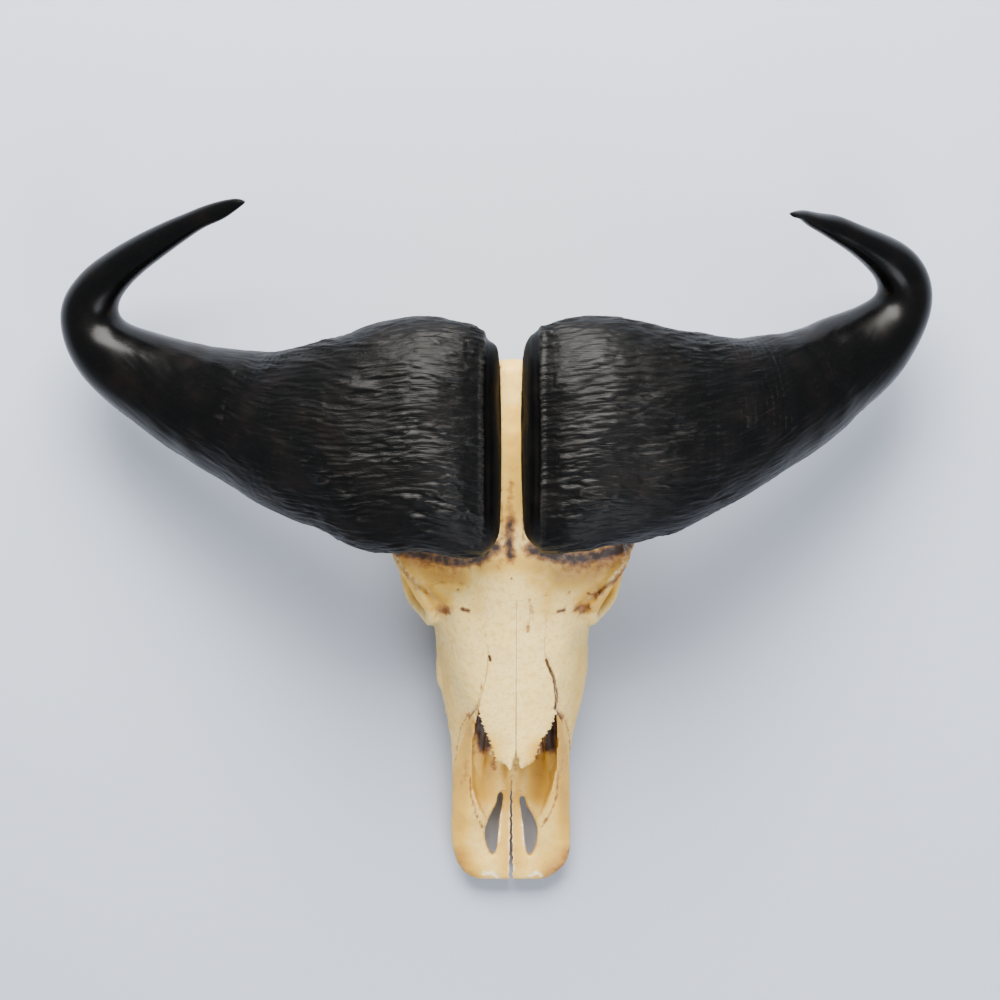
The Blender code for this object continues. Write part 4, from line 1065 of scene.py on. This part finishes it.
# Each layer of colour: what drives it, where that starts to show, where it is full, its share there
# and its colour. Sizes are millimetres.
boneLook = {
    "base": "#F9D77C",
    "noises": {"patch": (30.0, 4.0), "mottle": (6.0, 4.0), "fleck": (2.4, 3.0), "grain": (0.9, 3.0),
               "cloud": (60.0, 2.0)},
    "fibre": (1.1, 16.0), "poreSpacing": 3.6, "roughness": (0.42, 0.62),
    "layers": (
        ("patch", 0.42, 0.66, 0.7, "#FCE5A4"), ("cloud", 0.5, 0.66, 0.4, "#CBAF52"),
        ("mottle", 0.48, 0.7, 0.55, "#DDB050"), ("fleck", 0.54, 0.74, 0.45, "#BF8E3C"),
        ("ochre", 0.42, 1.05, 0.95, "#DFAE38"), ("ochre", 1.05, 1.6, 0.75, "#A66E1E"),
        # the chalk white is bleached chips and also painted highlights on the brow margins and the nasal edges
        ("fibre", 0.56, 0.78, 0.35, "#CFA04C"), ("chalkAndHighlight", 1.0, 1.45, 0.9, "#FFF4D6"),
        # brown stains; the near-black brown is painted shadow under the bosses' front edges and painted shade
        # inside the nose
        ("brownStainAndShade", 0.78, 1.2, 0.8, "#8C4C16"), ("brownStainAndShade", 1.12, 1.6, 0.95, "#1C0B04"),
        # painted brown shade in small and in large hollows
        ("hollow", 4.0, 20.0, 0.6, "#6B3A12"),
        ("deep", 20.0, 75.0, 0.6, "#6B3A12"), ("edge", 9.0, 26.0, 0.35, "#FBF1DA"),
        ("pore", 0.1, 0.9, 0.85, "#2A1408"),
    ),
}


def weatheredBone(name, warmth, poreDepth):
    # weathered bone, boiled clean and dried: chalky where it is bleached, with painted highlights on some
    # edges, waxy ochre where grease stayed, with open pores, fine fibre lines along the skull, brown stains,
    # and painted brown shade under the bosses, inside the nose and in every hollow
    look = boneLook
    made, tree, shader, places = newMaterial(name)
    metre = 1 / mm
    values = {}
    for kind, (size, detail) in look["noises"].items():
        values[kind] = addNode(tree, "ShaderNodeTexNoise", {"Vector": places, "Scale": metre / size,
                               "Detail": detail})
    thin, long = look["fibre"]
    stretched = addNode(tree, "ShaderNodeMapping", {"Vector": places,
                        "Scale": (metre / thin, metre / long, metre / thin)})
    values["fibre"] = addNode(tree, "ShaderNodeTexNoise", {"Vector": stretched, "Scale": 1.0, "Detail": 3.0})
    for kind, noise, share in (("brownStainAndShade", "mottle", 1.1), ("ochre", "patch", 0.8), ("chalkAndHighlight", "fleck", 1.2)):
        mark = addNode(tree, "ShaderNodeAttribute", {}, "Fac", attribute_name=kind)
        values[kind] = addNode(tree, "ShaderNodeMath", {0: values[noise], 1: share, 2: mark},
                               operation="MULTIPLY_ADD")
    values["ochre"] = addNode(tree, "ShaderNodeMath", {0: values["ochre"], 1: warmth}, operation="ADD")
    for kind in ("hollow", "deep"):
        values[kind] = addNode(tree, "ShaderNodeAttribute", {}, "Fac", attribute_name=kind)
    values["edge"] = addNode(tree, "ShaderNodeMath", {0: values["hollow"], 1: -1.0}, operation="MULTIPLY")
    cells = addNode(tree, "ShaderNodeTexVoronoi", {"Vector": places, "Scale": metre / look["poreSpacing"]})
    opened = addNode(tree, "ShaderNodeMapRange", {0: values["patch"], 1: 0.48, 2: 0.62})
    spots = addNode(tree, "ShaderNodeMapRange", {0: cells, 1: 0.19, 2: 0.07})
    values["pore"] = addNode(tree, "ShaderNodeMath", {0: spots, 1: opened}, operation="MULTIPLY")

    colour = linear(look["base"])
    for kind, start, full, share, paint in look["layers"]:
        factor = addNode(tree, "ShaderNodeMapRange", {0: values[kind], 1: start, 2: full, 4: share})
        colour = addNode(tree, "ShaderNodeMix", {0: factor, 6: colour, 7: linear(paint)}, 2, data_type="RGBA")
    relief = addNode(tree, "ShaderNodeMath", {0: values["fibre"], 1: values["grain"]}, operation="ADD")
    relief = addNode(tree, "ShaderNodeMath", {0: values["pore"], 1: -poreDepth, 2: relief},
                     operation="MULTIPLY_ADD")
    gloss = addNode(tree, "ShaderNodeMapRange", {0: values["mottle"], 1: 0.3, 2: 0.7,
                    3: look["roughness"][0], 4: look["roughness"][1]})
    tree.links.new(colour, shader.inputs["Base Color"])
    tree.links.new(gloss, shader.inputs["Roughness"])
    tree.links.new(addNode(tree, "ShaderNodeBump", {"Height": relief, "Strength": 0.5, "Distance": 0.5 * mm}),
                   shader.inputs["Normal"])
    shader.inputs["IOR"].default_value = 1.5
    return made


hornLook = {
    "base": "#030303", "fibre": (22.0, 1.1), "patchSize": 38.0, "fleckSize": 3.0,
    "boss": 0.4, "shaft": 0.27, "dull": 0.85,
    "shine": 0.12,
    "layers": (("patch", 0.5, 0.72, 0.5, "#0E0805"), ("fleck", 0.55, 0.8, 0.3, "#121114"),
               ("edge", 3.0, 9.0, 0.2, "#4A4744")),
}


def blackKeratin(name):
    # horn keratin, rubbed with oil: a flaky black boss with dust on its ridges, and a shaft worn
    # to a soft polish that throws long highlights
    look = hornLook
    made, tree, shader, places = newMaterial(name)
    metre = 1 / mm
    long, thin = look["fibre"]
    stretched = addNode(tree, "ShaderNodeMapping", {"Vector": places,
                        "Scale": (metre / long, metre / thin, metre / thin)})
    values = {"fibre": addNode(tree, "ShaderNodeTexNoise",
                               {"Vector": stretched, "Scale": 1.0, "Detail": 4.0})}
    for kind in ("patch", "fleck"):
        values[kind] = addNode(tree, "ShaderNodeTexNoise", {"Vector": places, "Detail": 5.0,
                               "Scale": metre / look[kind + "Size"]})
    hollow = addNode(tree, "ShaderNodeAttribute", {}, "Fac", attribute_name="hollow")
    values["edge"] = addNode(tree, "ShaderNodeMath", {0: hollow, 1: -1.0}, operation="MULTIPLY")
    colour = linear(look["base"])
    for kind, start, full, share, paint in look["layers"]:
        factor = addNode(tree, "ShaderNodeMapRange", {0: values[kind], 1: start, 2: full, 4: share})
        colour = addNode(tree, "ShaderNodeMix", {0: factor, 6: colour, 7: linear(paint)}, 2, data_type="RGBA")
    shaft = addNode(tree, "ShaderNodeAttribute", {}, "Fac", attribute_name="shaft")
    worn = addNode(tree, "ShaderNodeMapRange", {0: shaft, 3: look["boss"], 4: look["shaft"]})
    worn = addNode(tree, "ShaderNodeMapRange", {0: shaft, 1: 0.0, 2: -1.0, 3: worn, 4: look["dull"]})
    uneven = addNode(tree, "ShaderNodeMapRange", {0: values["patch"], 1: 0.3, 2: 0.7, 3: -0.07, 4: 0.09})
    gloss = addNode(tree, "ShaderNodeMath", {0: worn, 1: uneven}, operation="ADD")
    depth = addNode(tree, "ShaderNodeMapRange", {0: shaft, 3: 0.9, 4: 0.15})
    tree.links.new(colour, shader.inputs["Base Color"])
    shader.inputs["Specular IOR Level"].default_value = look["shine"]
    tree.links.new(gloss, shader.inputs["Roughness"])
    tree.links.new(addNode(tree, "ShaderNodeBump", {"Height": values["fibre"], "Strength": depth,
                           "Distance": 0.5 * mm}), shader.inputs["Normal"])
    shader.inputs["IOR"].default_value = 1.55
    return made


toothLook = {"base": "#EFDDB2", "streak": (3.0, 16.0), "roughness": 0.3,
             "layers": (("streaks", 0.42, 0.68, 0.9, "#8A6232"), ("hollow", 0.3, 2.5, 0.9, "#4A2C12"))}


def wornEnamel(name):
    # tooth enamel over dentine, worn by grazing: glossy ivory ribs, brown cement between them
    look = toothLook
    made, tree, shader, places = newMaterial(name)
    metre = 1 / mm
    thin, long = look["streak"]
    stretched = addNode(tree, "ShaderNodeMapping", {"Vector": places,
                        "Scale": (metre / thin, metre / thin, metre / long)})
    values = {"streaks": addNode(tree, "ShaderNodeTexNoise",
                                 {"Vector": stretched, "Scale": 1.0, "Detail": 5.0}),
              "hollow": addNode(tree, "ShaderNodeAttribute", {}, "Fac", attribute_name="hollow")}
    colour = linear(look["base"])
    for kind, start, full, share, paint in look["layers"]:
        factor = addNode(tree, "ShaderNodeMapRange", {0: values[kind], 1: start, 2: full, 4: share})
        colour = addNode(tree, "ShaderNodeMix", {0: factor, 6: colour, 7: linear(paint)}, 2, data_type="RGBA")
    tree.links.new(colour, shader.inputs["Base Color"])
    tree.links.new(addNode(tree, "ShaderNodeBump", {"Height": values["streaks"], "Strength": 0.3,
                           "Distance": 0.3 * mm}), shader.inputs["Normal"])
    shader.inputs["Roughness"].default_value = look["roughness"]
    shader.inputs["IOR"].default_value = 1.6
    return made


looks = {
    "cranium": weatheredBone("weatheredBone", 0.08, 1.6),
    "nasal": weatheredBone("bleachedBone", 0.04, 1.0),
    "premaxilla": weatheredBone("waxyBone", 0.3, 1.2),
    "horn": blackKeratin("blackKeratin"),
    "tooth": wornEnamel("wornEnamel"),
}
sharpAngle = 62.0


def kindOf(name):
    for kind in ("nasal", "premaxilla", "horn", "cranium"):
        if kind in name:
            return kind
    return "tooth"


for name, piece in pieces.items():
    kind = kindOf(name)
    piece.data.materials.clear()
    piece.data.materials.append(looks[kind])
    piece.data.shade_smooth()
    if kind in ("cranium", "premaxilla", "nasal"):
        piece.data.set_sharp_from_angle(angle=math.radians(sharpAngle))
    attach(piece, "root")
    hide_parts(name)
report("materials set")


# Floor, light and camera
studio = {"floor": "#A8AFBD", "floorHalf": 25.0, "cameraHeight": 3.0, "lens": 98.64,
          "camera": (0.004, 0.0531), "world": "#E8EDF5", "worldStrength": 0.62,
          "lamps": (("windowLight", (-0.15, 1.9, 2.1), 2.0, 375.0, "#FFFCF6"),
                    ("fillLight", (0.9, -1.9, 2.0), 1.6, 70.0, "#F4F7FF"))}


def buildStage():
    shape = bmesh.new()
    half = studio["floorHalf"]
    bmesh.ops.create_grid(shape, x_segments=1, y_segments=1, size=half,
                          matrix=Matrix.Translation((0, 0, -0.2 * mm)))
    floor = meshObject("floor", shape)
    paint, tree, shader, places = newMaterial("paleFloor")
    shader.inputs["Base Color"].default_value = linear(studio["floor"])
    shader.inputs["Roughness"].default_value = 0.85
    floor.data.materials.append(paint)
    for name, place, size, power, tint in studio["lamps"]:
        light = bpy.data.lights.new(name, "AREA")
        light.size, light.energy, light.color = size, power, linear(tint)[:3]
        lamp = bpy.data.objects.new(name, light)
        lamp.location = place
        lamp.rotation_euler = (Vector((0, 0, 0.1)) - lamp.location).to_track_quat("-Z", "Y").to_euler()
        bpy.context.scene.collection.objects.link(lamp)
    world = bpy.data.worlds.new("softRoom")
    world.use_nodes = True
    sky = world.node_tree.nodes["Background"]
    sky.inputs["Color"].default_value = linear(studio["world"])
    sky.inputs["Strength"].default_value = studio["worldStrength"]
    bpy.context.scene.world = world
    lens = bpy.data.cameras.new("camera")
    lens.lens, lens.sensor_width = studio["lens"], 36.0
    camera = bpy.data.objects.new("camera", lens)
    camera.location = (*studio["camera"], studio["cameraHeight"])
    bpy.context.scene.collection.objects.link(camera)
    bpy.context.scene.camera = camera


buildStage()
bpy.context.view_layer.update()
report("stage set")
